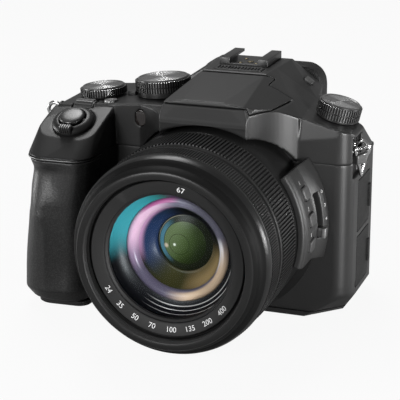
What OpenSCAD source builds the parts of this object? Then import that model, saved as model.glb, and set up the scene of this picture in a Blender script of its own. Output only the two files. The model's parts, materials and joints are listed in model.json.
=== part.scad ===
// Bridge camera with a large fixed zoom lens, at its real size in millimetres.
// X runs to the right as seen from the front, the lens points along -Y and Z is up.
// The origin is the mouth of the tripod socket, on the base under the lens axis.

/* [Body] */
// Distance from the lens axis to the flat side of the body
body_right = 57.5; // [54:0.5:64]
// Distance from the lens axis to the grip side of the body
body_left = 80; // [76:0.5:88]
// Distance from the tripod socket to the front face
body_front = 22; // [20:0.5:26]
// Distance from the tripod socket to the rear face
body_back = 20; // [18:0.5:24]
// Height of the seam between the lower shells and the top cover
seam_z = 68; // [66:0.5:74]
// Thickness of the moulded walls
wall = 2; // [1.6:0.1:2.6]
// Thickness of the base plate
base_t = 2; // [1.6:0.1:3]
// Radius of the front upright corners
corner_r = 7; // [3:0.5:8]
// Radius of the rear upright corners
back_r = 3; // [1.5:0.5:4]
// Width of the bevel under the flat side
bevel_w = 5.5; // [3:0.5:6]
// Height of the bevel under the flat side
bevel_h = 8; // [5:0.5:9]

/* [Top cover] */
// Height of both shoulders where they meet the hump
shoulder_z = 87; // [84:0.5:90]
// Slope of the shoulder over the grip, in degrees
slope_left = 4.5; // [2:0.5:6]
// Slope of the shoulder that carries the drive dial, in degrees
slope_right = 14; // [8:0.5:16]
// Height of the hump's ridge
ridge_z = 98.8; // [97:0.2:102]
// Distance from the tripod socket to the hump's nose
nose_y = 41.5; // [38:0.5:44]
// Half of the nose's width along its lower edge
nose_half = 19.7; // [18:0.1:21]
// Radius of the hollow flare between the nose and the front face
flare_r = 30; // [20:1:45]

/* [Grip] */
// Distance from the tripod socket to the front of the grip
grip_front = 52.5; // [49:0.5:58]
// Thickness of the grip's rubber skin
rubber_t = 1.2; // [0.8:0.1:1.6]
// Forward tilt of the face that carries the shutter button, in degrees
grip_tilt = 24; // [18:1:28]

/* [Lens] */
// Height of the lens axis above the base
axis_z = 42; // [42:0.1:46]
// Radius of the inner tube that both rings turn on
tube_r = 38.5; // [37:0.1:39]
// Thickness of the zoom ring
zoom_ring_t = 3.2; // [2.6:0.1:3.2]
// Thickness of the focus ring
focus_ring_t = 2.9; // [2.6:0.1:3.2]
// Length of the zoom ring
zoom_ring_l = 19.2; // [15:0.1:21]
// Length of the focus ring
focus_ring_l = 10; // [7:0.1:11]
// Distance from the tripod socket to the front edge of the lens
lens_front = 87; // [86:0.5:92]
// Radius of the filter thread
filter_r = 33.5; // [32:0.5:34]
// Depth of the filter thread
filter_depth = 3; // [2:0.1:4]
// Radius of the front glass inside its retaining ring
glass_r = 25.5; // [22:0.5:27]
// Number of ribs on the zoom ring
zoom_ribs = 90; // [60:1:110]
// Number of ribs on the focus ring
focus_ribs = 80; // [60:1:110]

/* [Controls] */
// Radius of the mode dial
mode_dial_r = 12; // [10:0.1:12]
// Radius of the rear dial
rear_dial_r = 10.2; // [8:0.1:10.4]
// Radius of the drive dial
drive_dial_r = 9.2; // [8:0.1:9.6]
// Radius of the shutter button
shutter_r = 5.4; // [4.5:0.1:5.6]
// Travel of the shutter button
shutter_travel = 1.2; // [0.8:0.1:1.5]
// Travel of the small buttons
button_travel = 0.6; // [0.4:0.1:0.7]

/* [Screen] */
// Width of the swinging screen panel
lcd_w = 74; // [66:1:76]
// Height of the swinging screen panel
lcd_h = 53; // [48:1:54]
// Thickness of the swinging screen panel
lcd_t = 9; // [8:0.5:10]

/* [Sockets] */
// Radius of the tripod socket's thread
tripod_r = 3.175; // [3:0.005:5]
// Depth of the tripod socket's thread
tripod_depth = 5.5; // [4.5:0.1:6]
// Inner width of the accessory shoe
shoe_w = 18.7; // [18.6:0.05:18.9]
// Gap between the accessory shoe's lips
shoe_gap = 12.6; // [12.3:0.1:13]

/* [Clearances] */
// Radial clearance of a running fit
run = 0.05; // [0.02:0.01:0.09]
// Clearance between parts that move past each other
gap = 0.3; // [0.25:0.05:0.4]

/* [Hidden] */
$fn = 64;
hull_fn = 32;
e = 0.01;

// Main planes
split_y = 6;
shell_left = body_left - rubber_t;
side_wall = 7;
hump_half = 33;
cavity_x = [-48, body_right - side_wall];
zoom_ring_r = tube_r + zoom_ring_t;
focus_ring_r = tube_r + focus_ring_t;
hood_r = zoom_ring_r + 1.4;

function left_z(x) = shoulder_z - (-x - hump_half) * tan(slope_left);
function right_z(x) = shoulder_z - (x - hump_half) * tan(slope_right);

// Hump
nose_top_z = ridge_z - 5;
nose_bottom_z = axis_z + hood_r;
nose_top_half = nose_half - 2.7;
nose_top_y = nose_y - 1.5;
ridge_half = 13.9;
ridge_back_half = 16;
ridge_y = 1;
hump_back = body_back + 16;
left_wall_x = nose_half - 0.8;
flare_y = nose_y - 3.5;
flare_x = hump_half + 2;
flare_mid = [(nose_half + 0.2 + flare_x) / 2, -(flare_y + body_front) / 2];
flare_chord = norm([flare_x - nose_half - 0.2, flare_y - body_front]);
flare_dir = [(flare_y - body_front) / flare_chord, -(flare_x - nose_half - 0.2) / flare_chord];
flare_c = flare_mid + flare_dir * sqrt(flare_r * flare_r - flare_chord * flare_chord / 4);

// Viewfinder
evf_half = 24;
evf_z0 = seam_z + 2;
evf_mid_z = (evf_z0 + ridge_z) / 2 - 1;
evf_open = [30, 20];
evf_tunnel = 14;
eyecup_t = 10.7;
eyecup_top = ridge_z - 3.8;

// Grip
grip_crease_z = left_z(-61) - 0.8;
grip_inner_top = 47.5;
grip_inner = 53;
grip_base_side = body_left - 2.4;
grip_top_side = body_left - 2.5;
shutter_x = -61;
shutter_y = -(body_front + 11);
shutter_z = grip_crease_z + (shutter_y + body_front) * tan(grip_tilt);
boss_r = shutter_r + 0.4;
boss_h = 2;
lever_r = boss_r + 3.3;

// Lens distances, forward from the tripod socket
collar_f0 = body_front;
bezel_l = 10;
ring_gap = 2.5;
focus_f1 = lens_front - bezel_l;
focus_f0 = focus_f1 - focus_ring_l;
zoom_f1 = focus_f0 - ring_gap;
zoom_f0 = zoom_f1 - zoom_ring_l;
bezel_f0 = focus_f1 + gap;
rim_f = lens_front - 8.6;
rim_r = zoom_ring_r - 0.7;
collar_r = zoom_ring_r - 0.2;
land_r = focus_ring_r - 1;
tube_in = tube_r - 4.5;
tail_r = 26;
tail_in = 20;
sensor_f = -2;
ledge = 3;
front_lens_f = bezel_f0 - 6;
inner_lens_f = zoom_f0 + 3;
group_f = front_lens_f - 0.7;
group_r = glass_r - 2.6;
group_rise = 1.3;
mouth_r = glass_r - 8.2;
deep_f = group_f - 14;
deep_r = glass_r - 13.5;
deep_rise = 2.3;
iris_f = collar_f0 + 14;
rear_lens_f = 8;
seat_f = lens_front - filter_depth - 3;
seat_r = filter_r - 0.6;

// Control panel on the barrel
panel_r0 = collar_r;
panel_r1 = collar_r + 3.6;
panel_f0 = body_front;
panel_f1 = zoom_f0 - 1.6;
panel_a0 = -17;
panel_a1 = 36;
flange_r = panel_r1 - 0.4;
flange_t = 1.6;
flange_a0 = -66;
fn_f = panel_f0 + 12.5;
fn_angles = [22, 7.8, -6.4];
fn_size = [6.6, 5.4];
nd_f = panel_f0 + 4.6;
nd_w = 2.4;
nd_slot = [-5, 19];
nd_foot = 5;

// Battery chamber and doors
battery_x = [-73.5, -56];
battery_y = [-40.5, -5.5];
battery_z = [base_t + 0.4, base_t + 54.4];
card_x = [-73.6, -49.6];
card_y = [-3.6, -1.5];
card_z = [base_t + 0.4, base_t + 32.4];
fit = 0.4;
bay_x = [battery_x[0] - 0.3, battery_x[1] + fit];
bay_y = [battery_y[0] - 0.8, card_y[1] + 0.9];
bay_hinge_x = card_x[1] + 2;
bay_hinge_y = [-body_front + 3.5, bay_y[1]];
door_y = [-9, 11];
door_t = 2;
door_upper_z = [36, 58];
door_lower_z = [11, 33];
pin_r = 0.5;

// Screws that hold the base
screw_x = [-36, 40];
screw_inset = 2.5;
screw_boss_h = 5;
screw_boss_r = 3.4;

// Flash
flash_pin_y = -(ridge_y + 2.5);
flash_pin_z = ridge_z - 5;
flash_pin_r = 1;
flash_tail_r = 4.6;
lid_half = 30;
lid_tail = [-15.5, 17.5];
lid_lip_z = nose_top_z - 0.5;
lid_step = flash_tail_r + 0.8;
lid_relief = 2.7;
tail_relief = 2;
lid_y = -(nose_top_y - 1.2);
lid_z = nose_top_z - 3.2;
lamp_half = 14;
lamp_y = [-(nose_top_y - 2.5), -(nose_top_y - 14)];
lamp_z = lid_z - 3.4;

// Accessory shoe
shoe_y = [11.5, 32.5];
shoe_lip = 1.3;
shoe_slot = 2.1;
shoe_rail = 1.5;
shoe_floor = 0.8;
shoe_top = ridge_z + 3.1;
shoe_z0 = shoe_top - shoe_lip - shoe_slot - shoe_floor;
grille_y = [2.4, 9.4];
grille_half = 10.5;

// Screen
lcd_floor = body_back - 4;
lcd_air = 0.4;
lcd_face = lcd_floor + lcd_air + lcd_t;
lcd_axis = [body_right - 6, lcd_floor + lcd_t / 2 + lcd_air];
lcd_ear = 4.6;
lcd_x1 = lcd_axis[0] - 3.5;
lcd_z0 = 9.4;
lcd_z1 = lcd_z0 + lcd_h;
lcd_lug_r = 3.6;
lcd_pin_r = 1.5;
glass_t = 0.8;
bezel_w = 4;

// Controls on the left shoulder, right shoulder and rear
mode_at = [-31.5, -2.5];
rear_dial_at = [-59, -4.5];
record_at = [-50.5, -17];
power_at = [-45.6, -1];
drive_at = [46.5, -5];
wheel_x = -61.4;
wheel_y = rear_dial_at[1] - rear_dial_r - 3.9;
wheel_r = 5.2;
wheel_w = 9.4;
wheel_z = left_z(wheel_x) - wheel_r + 1.4;
stem_r = 3.5;
stem_l = 6;
record_r = 2.85;
well = 2.4;
switch_at = [26.5, 24];
switch_travel = 3;
lamp_at = [-34.6, shoulder_z - 6.2];
rear_x = lcd_x1 - lcd_w - 12;
pad_at = [rear_x - 14, 28];
pad_r = 10;
menu_r = 4;
play_at = [rear_x, 46];
lock_at = [rear_x, 60];
small_r = 3.2;
lever_ring = 6;
lug_pocket = 2.5;
lug_seat = 1.3;
lug_r = 4;
lug_right = [body_right - lug_pocket, -11, seam_z + 5.3];
lug_left = [-shell_left + lug_seat, -8, seam_z + 9.5];
eye_out = 4;
eye_r = 3;
eye_wire = 0.9;
wire_r = 0.75;
ring_half = 4;
ring_drop = 8;

// Rear corner of the shoulder beside the drive dial
corner_y = -3.8;
corner_tilt = 46;
corner_turn = 39;

// Slanted cut under the front corner of the flat side
foot_y = -body_front + 14;
foot_tilt = 137;
foot_turn = -44;
foot_size = 60;
foot_block_x = screw_x[1] - screw_boss_r;
foot_block_h = 12;

// Shared forms

module on_axis() translate([0, 0, axis_z]) rotate([90, 0, 0]) children();

module tube(r_out, r_in, f0, f1) on_axis() translate([0, 0, f0]) difference() {
    cylinder(r = r_out, h = f1 - f0, $fn = 128);
    translate([0, 0, -1]) cylinder(r = r_in, h = f1 - f0 + 2, $fn = 128);
}

module box(x, y, z) translate([x[0], y[0], z[0]]) cube([x[1] - x[0], y[1] - y[0], z[1] - z[0]]);

module round_rect(x, y, r) {
    translate([x[0] + r, y[0]]) square([x[1] - x[0] - 2 * r, y[1] - y[0]]);
    translate([x[0], y[0] + r]) square([x[1] - x[0], y[1] - y[0] - 2 * r]);
    for (cx = [x[0] + r, x[1] - r], cy = [y[0] + r, y[1] - r]) translate([cx, cy]) circle(r);
}

// Upright plate in the XZ plane, from y0 towards +Y
module upright(y0, t) translate([0, y0 + t, 0]) rotate([90, 0, 0]) linear_extrude(t) children();

module ribbed(r, depth, ribs) polygon([for (i = [0:ribs - 1], k = [0:3])
    let (a = (i + [0, 0.3, 0.5, 0.8][k]) * 360 / ribs, q = k < 2 ? r : r - depth) [q * cos(a), q * sin(a)]]);

// Outline of the body between two depths
module body_plan(y0, y1) {
    x = [-shell_left, body_right];
    if (y0 < split_y) intersection() {
        round_rect(x, [-body_front, body_back + 2 * corner_r], corner_r);
        translate([x[0] - 1, y0]) square([x[1] - x[0] + 2, min(y1, split_y) - y0]);
    }
    if (y1 > split_y) intersection() {
        round_rect(x, [-body_front - 2 * back_r, body_back], back_r);
        translate([x[0] - 1, max(y0, split_y)]) square([x[1] - x[0] + 2, y1 - max(y0, split_y)]);
    }
}

// Outline of the grip at one height: front edge, inner edge, and how far the skin is drawn in
module grip_plan(front, inner, side, inset, outer_r = 10.5, inner_r = 8.5) {
    r1 = outer_r - inset;
    r2 = inner_r - inset;
    translate([-side + inset + r1, -front + inset + r1]) circle(r1, $fn = hull_fn);
    translate([-inner - inset - r2, -front + 0.6 + inset + r2]) circle(r2, $fn = hull_fn);
    translate([-side + inset, -body_front]) square([side - inner + 1, body_front - 4]);
}

module grip_form(inset) hull() {
    translate([0, 0, base_t]) linear_extrude(0.1)
        grip_plan(grip_front - 6, grip_inner, grip_base_side, inset);
    translate([0, 0, base_t + 6]) linear_extrude(0.1)
        grip_plan(grip_front - 1.8, grip_inner - 0.5, body_left, inset);
    translate([0, 0, axis_z]) linear_extrude(0.1) grip_plan(grip_front, grip_inner - 2, body_left, inset);
    translate([0, 0, seam_z - 0.1]) linear_extrude(0.1)
        grip_plan(grip_front - 1, grip_inner_top, grip_top_side, inset);
}

module on_shutter() translate([shutter_x, shutter_y, shutter_z]) rotate([grip_tilt, 0, 0]) children();

module on_left(at) translate([at[0], at[1], left_z(at[0])]) rotate([0, -slope_left, 0]) children();

module on_right(at) translate([at[0], at[1], right_z(at[0])]) rotate([0, slope_right, 0]) children();

module on_roof(at) {
    drop = (at[0] - ridge_back_half) * (ridge_z - shoulder_z - 1) / (hump_half - 1 - ridge_back_half);
    translate([at[0], at[1], ridge_z - drop])
        rotate([0, atan((ridge_z - shoulder_z - 1) / (hump_half - 1 - ridge_back_half)), 0]) children();
}

module on_rear(at) translate([at[0], body_back, at[1]]) rotate([-90, 0, 0]) children();

module spot(p) translate(p) cube(0.2, center = true);

// Lower shells

screw_front = -body_front + wall + screw_inset;
screw_back = lcd_floor - wall - screw_inset;
module screw_places(rows) for (x = screw_x, y = rows) translate([x, y, 0]) children();

module screw_bosses(y) screw_places([y]) translate([0, 0, base_t - 1])
    cylinder(r = screw_boss_r, h = screw_boss_h + 1);

module screw_holes(y) screw_places([y]) translate([0, 0, base_t - 1])
    cylinder(r = 1, h = screw_boss_h + 0.5);

// Slanted lower edge of the flat side
module bevel_cut() {
    run_out = bevel_w / bevel_h;
    upright(-body_front - 1, body_front + body_back + 2) polygon([[body_right - bevel_w - run_out, -1],
        [body_right + run_out, bevel_h + 1], [body_right + 2, bevel_h + 1], [body_right + 2, -1]]);
    translate([body_right - bevel_w, foot_y, 0]) rotate([0, foot_tilt, foot_turn])
        translate([-foot_size / 2, -foot_size / 2, 0]) cube(foot_size);
}

// Recess in the flat side for the strap lug and its ring
module lug_recess() box([lug_right[0], body_right + 1], [lug_right[1] - 6.5, lug_right[1] + 6.5],
    [lug_right[2] - 12, lug_right[2] + 5.2]);

module door_cut(z) {
    box([body_right - door_t - gap, body_right + 1], [door_y[0] - gap, door_y[1] + gap],
        [z[0] - gap, z[1] + gap]);
    translate([body_right - door_t / 2, door_y[0] + door_t / 2, z[0] - 2])
        cylinder(r = pin_r + run, h = z[1] - z[0] + 4);
}

module front_shell() color([0.12, 0.12, 0.13]) difference() {
    union() {
        translate([0, 0, base_t]) linear_extrude(seam_z - base_t) body_plan(-body_front, split_y);
        grip_form(rubber_t);
    }
    difference() {
        box(cavity_x, [-body_front + wall, split_y + 1], [base_t - 1, seam_z + 1]);
        screw_bosses(screw_front);
        box([foot_block_x, cavity_x[1] + 1], [-body_front, foot_y + wall], [base_t - 1, foot_block_h]);
    }
    screw_holes(screw_front);
    bevel_cut();
    lug_recess();
    box([battery_x[0] - fit, battery_x[1] + fit], [battery_y[0] - fit, battery_y[1] + fit],
        [base_t - 1, battery_z[1] + fit]);
    box([card_x[0] - fit, card_x[1] + fit], [card_y[0] - fit, card_y[1] + fit],
        [base_t - 1, card_z[1] + fit]);
    on_axis() translate([0, 0, body_front - wall - 1]) cylinder(r = tail_r + 0.1, h = wall + 2);
    door_cut(door_upper_z);
    door_cut(door_lower_z);
    jack_cut();
}

module jack_cut() box([body_right - side_wall - 1, body_right - door_t], [-6, split_y + 3],
    [door_lower_z[0] + 3, door_upper_z[1] - 3]);

module rear_shell() color([0.12, 0.12, 0.13]) difference() {
    union() {
        translate([0, 0, base_t]) linear_extrude(seam_z - base_t) body_plan(split_y, body_back);
        for (z = [[lcd_z0 - lcd_ear, lcd_z0 - gap], [lcd_z1 + gap, lcd_z1 + lcd_ear]])
            translate([lcd_axis[0], lcd_axis[1], z[0]]) cylinder(r = lcd_lug_r, h = z[1] - z[0]);
    }
    difference() {
        box([-74, cavity_x[1]], [split_y - 1, lcd_floor - wall], [base_t - 1, seam_z - 3]);
        board_bosses();
        screw_bosses(screw_back);
    }
    screw_holes(screw_back);
    bevel_cut();
    difference() {
        box([lcd_x1 - lcd_w - gap, body_right + 1], [lcd_floor, body_back + lcd_t],
            [lcd_z0 - lcd_ear, lcd_z1 + lcd_ear]);
        for (z = [[lcd_z0 - lcd_ear - 0.1, lcd_z0 - gap], [lcd_z1 + gap, lcd_z1 + lcd_ear + 0.1]]) {
            translate([lcd_axis[0], lcd_axis[1], z[0]]) cylinder(r = lcd_lug_r, h = z[1] - z[0]);
            box([lcd_axis[0] - lcd_lug_r, lcd_axis[0] + lcd_lug_r], [lcd_floor - 1, lcd_axis[1]], z);
        }
    }
    translate([lcd_axis[0], lcd_axis[1], lcd_z0 - 3]) cylinder(r = lcd_pin_r + run, h = lcd_h + 6);
    on_rear(pad_at) cup(pad_r + gap, 2.4);
    on_rear(play_at) cup(small_r + gap, 2.4);
    on_rear(lock_at) cup(lever_ring + gap, 2.4);
    on_rear(lock_at) cup(stem_r - 1 + run, 4);
    door_cut(door_upper_z);
    door_cut(door_lower_z);
    jack_cut();
}

// Blind hole of radius r and depth d, down from a face
module cup(r, d) translate([0, 0, -d]) cylinder(r = r, h = d + 12);

board_y = [split_y + 1, split_y + 2.6];
board_x = [-46, 48];
board_z = [base_t + 6, seam_z - 8];
module board_bosses() for (x = [board_x[0] + 5, board_x[1] - 5], z = [board_z[0] + 5, board_z[1] - 5])
    translate([x, board_y[1], z]) rotate([-90, 0, 0]) cylinder(r = 3, h = lcd_floor - board_y[1]);

module main_board() color([0.05, 0.3, 0.15]) union() {
    box(board_x, board_y, board_z);
    box([-20, 18], [board_y[0] - 1.4, board_y[0] + e], [axis_z - 20, axis_z + 20]);
}

module image_sensor() color([0.15, 0.15, 0.2]) union() {
    box([-22, 22], [-sensor_f, -sensor_f + 1.6], [axis_z - 22, axis_z + 22]);
    box([-8, 8], [-sensor_f - 0.8, -sensor_f + e], [axis_z - 6, axis_z + 6]);
}

module jack_block() color([0.08, 0.08, 0.08]) difference() {
    box([body_right - side_wall + 0.5, body_right - door_t - 1], [-5.9, split_y + 2.9],
        [door_lower_z[0] + 3.1, door_upper_z[1] - 3.1]);
    for (z = [door_upper_z[0] + 6, door_upper_z[1] - 6]) translate([0, 0, z]) rotate([0, 90, 0])
        cylinder(r = 1.75, h = body_right);
    for (z = [door_lower_z[0] + 7, door_lower_z[1] - 6])
        box([body_right - side_wall + 2, body_right], [-3, 5], [z - 1.6, z + 1.6]);
}

module base_plan() {
    body_plan(-body_front, body_back);
    hull() grip_plan(grip_front - 8.5, grip_inner, grip_base_side, 0, 8, 5);
}

// Outline of the battery door, grown by c: under the battery, and beside it under the card
module bay_form(c) {
    box([bay_x[0] - c, bay_x[1] + c], [bay_y[0] - c, bay_y[1] + c], [0, base_t]);
    box([bay_x[1] - 1, bay_hinge_x], [bay_hinge_y[0] - c, bay_hinge_y[1] + c], [0, base_t]);
}

module bay_hinge(r, extra) translate([bay_hinge_x, bay_hinge_y[0] - extra, base_t / 2]) rotate([-90, 0, 0])
    cylinder(r = r, h = bay_hinge_y[1] - bay_hinge_y[0] + 2 * extra);

module base_plate() color([0.1, 0.1, 0.1]) difference() {
    linear_extrude(base_t) base_plan();
    translate([0, 0, -1]) cylinder(r = tripod_boss_r + run, h = base_t + 2);
    bay_form(gap);
    box([bay_hinge_x - 1, bay_hinge_x + base_t / 2 + gap], [bay_hinge_y[0] - gap, bay_hinge_y[1] + gap],
        [-1, base_t + 1]);
    bay_hinge(pin_r + run, 2);
    bevel_cut();
    screw_places([screw_front, screw_back]) {
        translate([0, 0, -1]) cylinder(r = 2.1, h = 2);
        cylinder(r = 1.1, h = base_t + 1);
    }
}

module base_screws() color([0.3, 0.3, 0.3]) screw_places([screw_front, screw_back]) union() {
    translate([0, 0, 0.2]) cylinder(r = 2, h = 0.8);
    translate([0, 0, 0.5]) cylinder(r = 0.95, h = base_t + screw_boss_h - 1.4);
}

tripod_boss_r = tripod_r + 3;
module tripod_socket() color([0.6, 0.6, 0.6]) difference() {
    union() {
        cylinder(r = tripod_boss_r, h = base_t);
        translate([0, 0, base_t]) cylinder(r = tripod_boss_r + 2, h = tripod_depth);
    }
    translate([0, 0, -1]) cylinder(r = tripod_r, h = tripod_depth + 1);
}

module grip_rubber() color([0.07, 0.07, 0.07]) difference() {
    intersection() {
        grip_form(0);
        translate([0, 0, base_t + 1]) linear_extrude(seam_z - base_t - 2.2)
            translate([-body_left - 1, -grip_front - 1])
                square([body_left - grip_inner_top + 1, grip_front + 1]);
    }
    grip_form(rubber_t);
    translate([-shell_left, -body_front, 0]) cube([shell_left + 20, body_front + body_back, seam_z + 1]);
}

module thumb_rest() color([0.07, 0.07, 0.07]) upright(body_back, 2.2)
    round_rect([-shell_left + corner_r, -56], [40, seam_z - 2], 5);

module battery() color([0.25, 0.25, 0.28]) box(battery_x, battery_y, battery_z);

module memory_card() color([0.1, 0.1, 0.35]) box(card_x, card_y, card_z);

module battery_door() color([0.1, 0.1, 0.1]) union() {
    bay_form(0);
    bay_hinge(base_t / 2, 0);
    bay_hinge(pin_r, 1.5);
}

module side_door(z) color([0.1, 0.1, 0.1]) union() {
    box([body_right - door_t, body_right], [door_y[0] + door_t / 2, door_y[1]], z);
    translate([body_right - door_t / 2, door_y[0] + door_t / 2, z[0]])
        cylinder(r = door_t / 2, h = z[1] - z[0]);
    translate([body_right - door_t / 2, door_y[0] + door_t / 2, z[0] - 1.5])
        cylinder(r = pin_r, h = z[1] - z[0] + 3);
    box([body_right - e, body_right + 0.9], [door_y[1] - 2.6, door_y[1] - 0.6], [z[0] + 6, z[1] - 6]);
}

module door_upper() side_door(door_upper_z);

module door_lower() side_door(door_lower_z);

// Top cover

module shoulders() difference() {
    intersection() {
        upright(-body_front, body_front + body_back) polygon([[-shell_left, seam_z],
            [-shell_left, left_z(-shell_left) - 6], [-shell_left + 6, left_z(-shell_left + 6)],
            [-hump_half, shoulder_z], [hump_half, shoulder_z], [body_right - 1, right_z(body_right - 1)],
            [body_right, right_z(body_right) - 1], [body_right, seam_z]]);
        translate([0, 0, seam_z]) linear_extrude(ridge_z) body_plan(-body_front, body_back);
    }
    translate([body_right, corner_y, right_z(body_right)]) rotate([0, corner_tilt, corner_turn])
        translate([-body_right, -body_right, 0]) cube([2 * body_right, 2 * body_right, body_right]);
}

// Rounded front of the top cover over the grip
module grip_nose() hull() {
    translate([0, 0, seam_z]) linear_extrude(0.1)
        grip_plan(grip_front - 1, grip_inner_top, grip_top_side, 0);
    on_shutter() translate([-0.5, 0, -0.1]) linear_extrude(0.1) for (p = [[-6, -2], [5, -3]])
        translate(p) circle(8, $fn = hull_fn);
    for (x = [-body_left + 5, -47]) spot([x, -body_front + 0.5, left_z(x) - 1]);
}

// Roof over the flash, from the nose back to the ridge
module roof_front() hull() {
    for (s = [-1, 1]) {
        spot([s * nose_half, -nose_y, nose_bottom_z]);
        spot([s * nose_top_half, -nose_top_y, nose_top_z]);
        spot([s * nose_top_half / 2, -nose_top_y - 0.3, nose_top_z + 1.3]);
        spot([s * ridge_half, ridge_y, ridge_z - 0.1]);
        spot([s * (ridge_half + 0.8), 12, ridge_z - 0.1]);
        spot([s * nose_half, -flare_y, nose_bottom_z]);
    }
    spot([nose_half, -flare_y, nose_top_z - 4]);
    spot([flare_x, -body_front + 1, shoulder_z - 0.4]);
    spot([hump_half, 12, shoulder_z - 0.1]);
    for (y = [-body_front, 12]) spot([-left_wall_x, y, shoulder_z - 2]);
    spot([hump_half, 12, shoulder_z - 3]);
    spot([flare_x, -body_front + 1, shoulder_z - 3]);
}

// Roof over the viewfinder
module roof_back() hull() {
    for (s = [-1, 1]) {
        spot([s * ridge_back_half, 30, ridge_z - 0.1]);
        spot([s * (ridge_half + 0.8), 12, ridge_z - 0.1]);
        spot([s * (ridge_back_half - 1), hump_back - 0.1, ridge_z - 1]);
        spot([s * (evf_half + 5), hump_back - 0.1, shoulder_z]);
        spot([s * evf_half, hump_back - 0.1, shoulder_z - 4]);
        spot([s * hump_half, body_back - 1, shoulder_z - 3]);
    }
    for (z = [shoulder_z - 0.1, shoulder_z - 3]) {
        spot([hump_half, 12, z]);
        spot([-left_wall_x, 12, z]);
        spot([-hump_half, body_back - 1, z]);
    }
}

module skirt() translate([0, 0, seam_z]) linear_extrude(shoulder_z - seam_z - 0.2) polygon([
    [-flare_x, -body_front + 2], [-flare_x, -body_front], [-nose_half - 0.2, -flare_y], [-nose_half, -nose_y],
    [nose_half, -nose_y], [nose_half + 0.2, -flare_y], [flare_x, -body_front], [flare_x, -body_front + 2]]);

// Hollow that runs out from the nose on both sides
module flare_cuts() for (s = [-1, 1]) translate([s * flare_c[0], flare_c[1], seam_z - 1])
    cylinder(r = flare_r, h = ridge_z - seam_z + 2, $fn = 96);

// Space of the flash lid, grown by c, with more room where its corners swing back
module flash_space(c) {
    z = [lid_z - c, ridge_z + 5];
    wide_y = flash_pin_y - lid_step + lid_relief * c;
    box([-lid_half - c, lid_half + c], [lid_y - c, wide_y], z);
    box([-lid_half - c, lid_half + c], [-nose_y - 1, wide_y], [lid_lip_z - c, ridge_z + 5]);
    box([lid_tail[0] - c, lid_tail[1] + c], [lid_y - c, flash_pin_y], z);
    translate([lid_tail[0] - c, flash_pin_y, flash_pin_z]) rotate([0, 90, 0])
        cylinder(r = flash_tail_r + tail_relief * c, h = lid_tail[1] - lid_tail[0] + 2 * c);
}

// Space of the flash lamp, with room in front for its lower edge to swing out
module lamp_space(c) box([-lamp_half - c, lamp_half + c], [lamp_y[0] - 3 * c, lamp_y[1] + c],
    [lamp_z - c, lid_z]);

module pin_space(r, past) translate([lid_tail[0] - past, flash_pin_y, flash_pin_z]) rotate([0, 90, 0])
    cylinder(r = r, h = lid_tail[1] - lid_tail[0] + 2 * past);

module top_cover() color([0.13, 0.13, 0.14]) difference() {
    union() {
        shoulders();
        grip_nose();
        difference() {
            union() {
                skirt();
                roof_front();
            }
            flare_cuts();
        }
        roof_back();
        translate([0, 0, evf_z0]) linear_extrude(shoulder_z - evf_z0)
            round_rect([-evf_half, evf_half], [body_back - back_r, hump_back], 3);
    }
    on_axis() translate([0, 0, body_front]) cylinder(r = hood_r, h = nose_y, $fn = 128);
    shoulder_facet();
    flash_space(gap);
    lamp_space(gap);
    pin_space(flash_pin_r, 2);
    lug_recess();
    translate(lug_left) rotate([0, -90, 0]) cylinder(r = lug_r + run, h = lug_seat + 1);
    box([-shoe_w / 2 - shoe_rail - 0.1, shoe_w / 2 + shoe_rail + 0.1], [shoe_y[0] - 0.1, shoe_y[1] + 0.1],
        [shoe_z0, ridge_z + 5]);
    box([-grille_half - 0.1, grille_half + 0.1], [grille_y[0] - 0.1, grille_y[1] + 0.1],
        [ridge_z - 2, ridge_z + 5]);
    on_left(mode_at) cup(stem_r + run, stem_l + 1);
    on_left(rear_dial_at) cup(stem_r + run, stem_l + 1);
    on_right(drive_at) cup(stem_r + run, stem_l + 1);
    on_left(record_at) cup(record_r + 0.15, well);
    on_left(power_at) translate([-2.2, -4.4, -1.6]) cube([4.4, 8.8, 10]);
    on_roof(switch_at) translate([-2.2, -4, -1.4]) cube([4.4, 8, 10]);
    on_shutter() {
        translate([0, 0, boss_h - 8]) cylinder(r = 3 + run, h = 20);
        difference() {
            cylinder(r = lever_r + gap + 0.2, h = 20);
            translate([0, 0, -1]) cylinder(r = boss_r, h = boss_h + 1);
        }
    }
    wheel_cut();
    translate([lamp_at[0], -body_front, lamp_at[1]]) rotate([90, 0, 0]) translate([0, 0, -2])
        linear_extrude(4) lamp_outline(0.05);
    box([-evf_open[0] / 2, evf_open[0] / 2], [hump_back - evf_tunnel, hump_back + 1],
        [evf_mid_z - evf_open[1] / 2, evf_mid_z + evf_open[1] / 2]);
    diopter_cut();
    box([-26, 26], [-body_front + wall, body_back - back_r - wall], [seam_z - 1, shoulder_z - 5]);
}

// Slanted facet between the front face and the shoulder beside the drive dial
module shoulder_facet() polyhedron(
    points = [[body_right - 1, -body_front - e, right_z(body_right) - 0.6],
        [flare_x, -body_front - e, seam_z + 9],
        [flare_x, -body_front - e, shoulder_z + 2], [flare_x, -body_front + 2, shoulder_z + 2]],
    faces = [[0, 1, 2], [0, 3, 1], [0, 2, 3], [1, 3, 2]]);

module wheel_cut() translate([wheel_x, wheel_y, wheel_z]) rotate([0, 90, 0]) {
    translate([0, 0, -wheel_w / 2 - gap]) cylinder(r = wheel_r + gap, h = wheel_w + 2 * gap);
    translate([0, 0, -wheel_w / 2 - 3]) cylinder(r = 1.5 + run, h = wheel_w + 6);
}

module lamp_outline(c) union() {
    for (s = [-1, 1]) translate([0, s]) circle(2.5 + c);
    square([5 + 2 * c, 2], center = true);
}

diopter_at = [-evf_half, hump_back - 7, evf_mid_z];
module diopter_cut() translate(diopter_at) rotate([0, 90, 0]) {
    translate([0, 0, -8]) cylinder(r = 5 + gap, h = 11);
    cylinder(r = 1.5 + run, h = 6);
}

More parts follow.
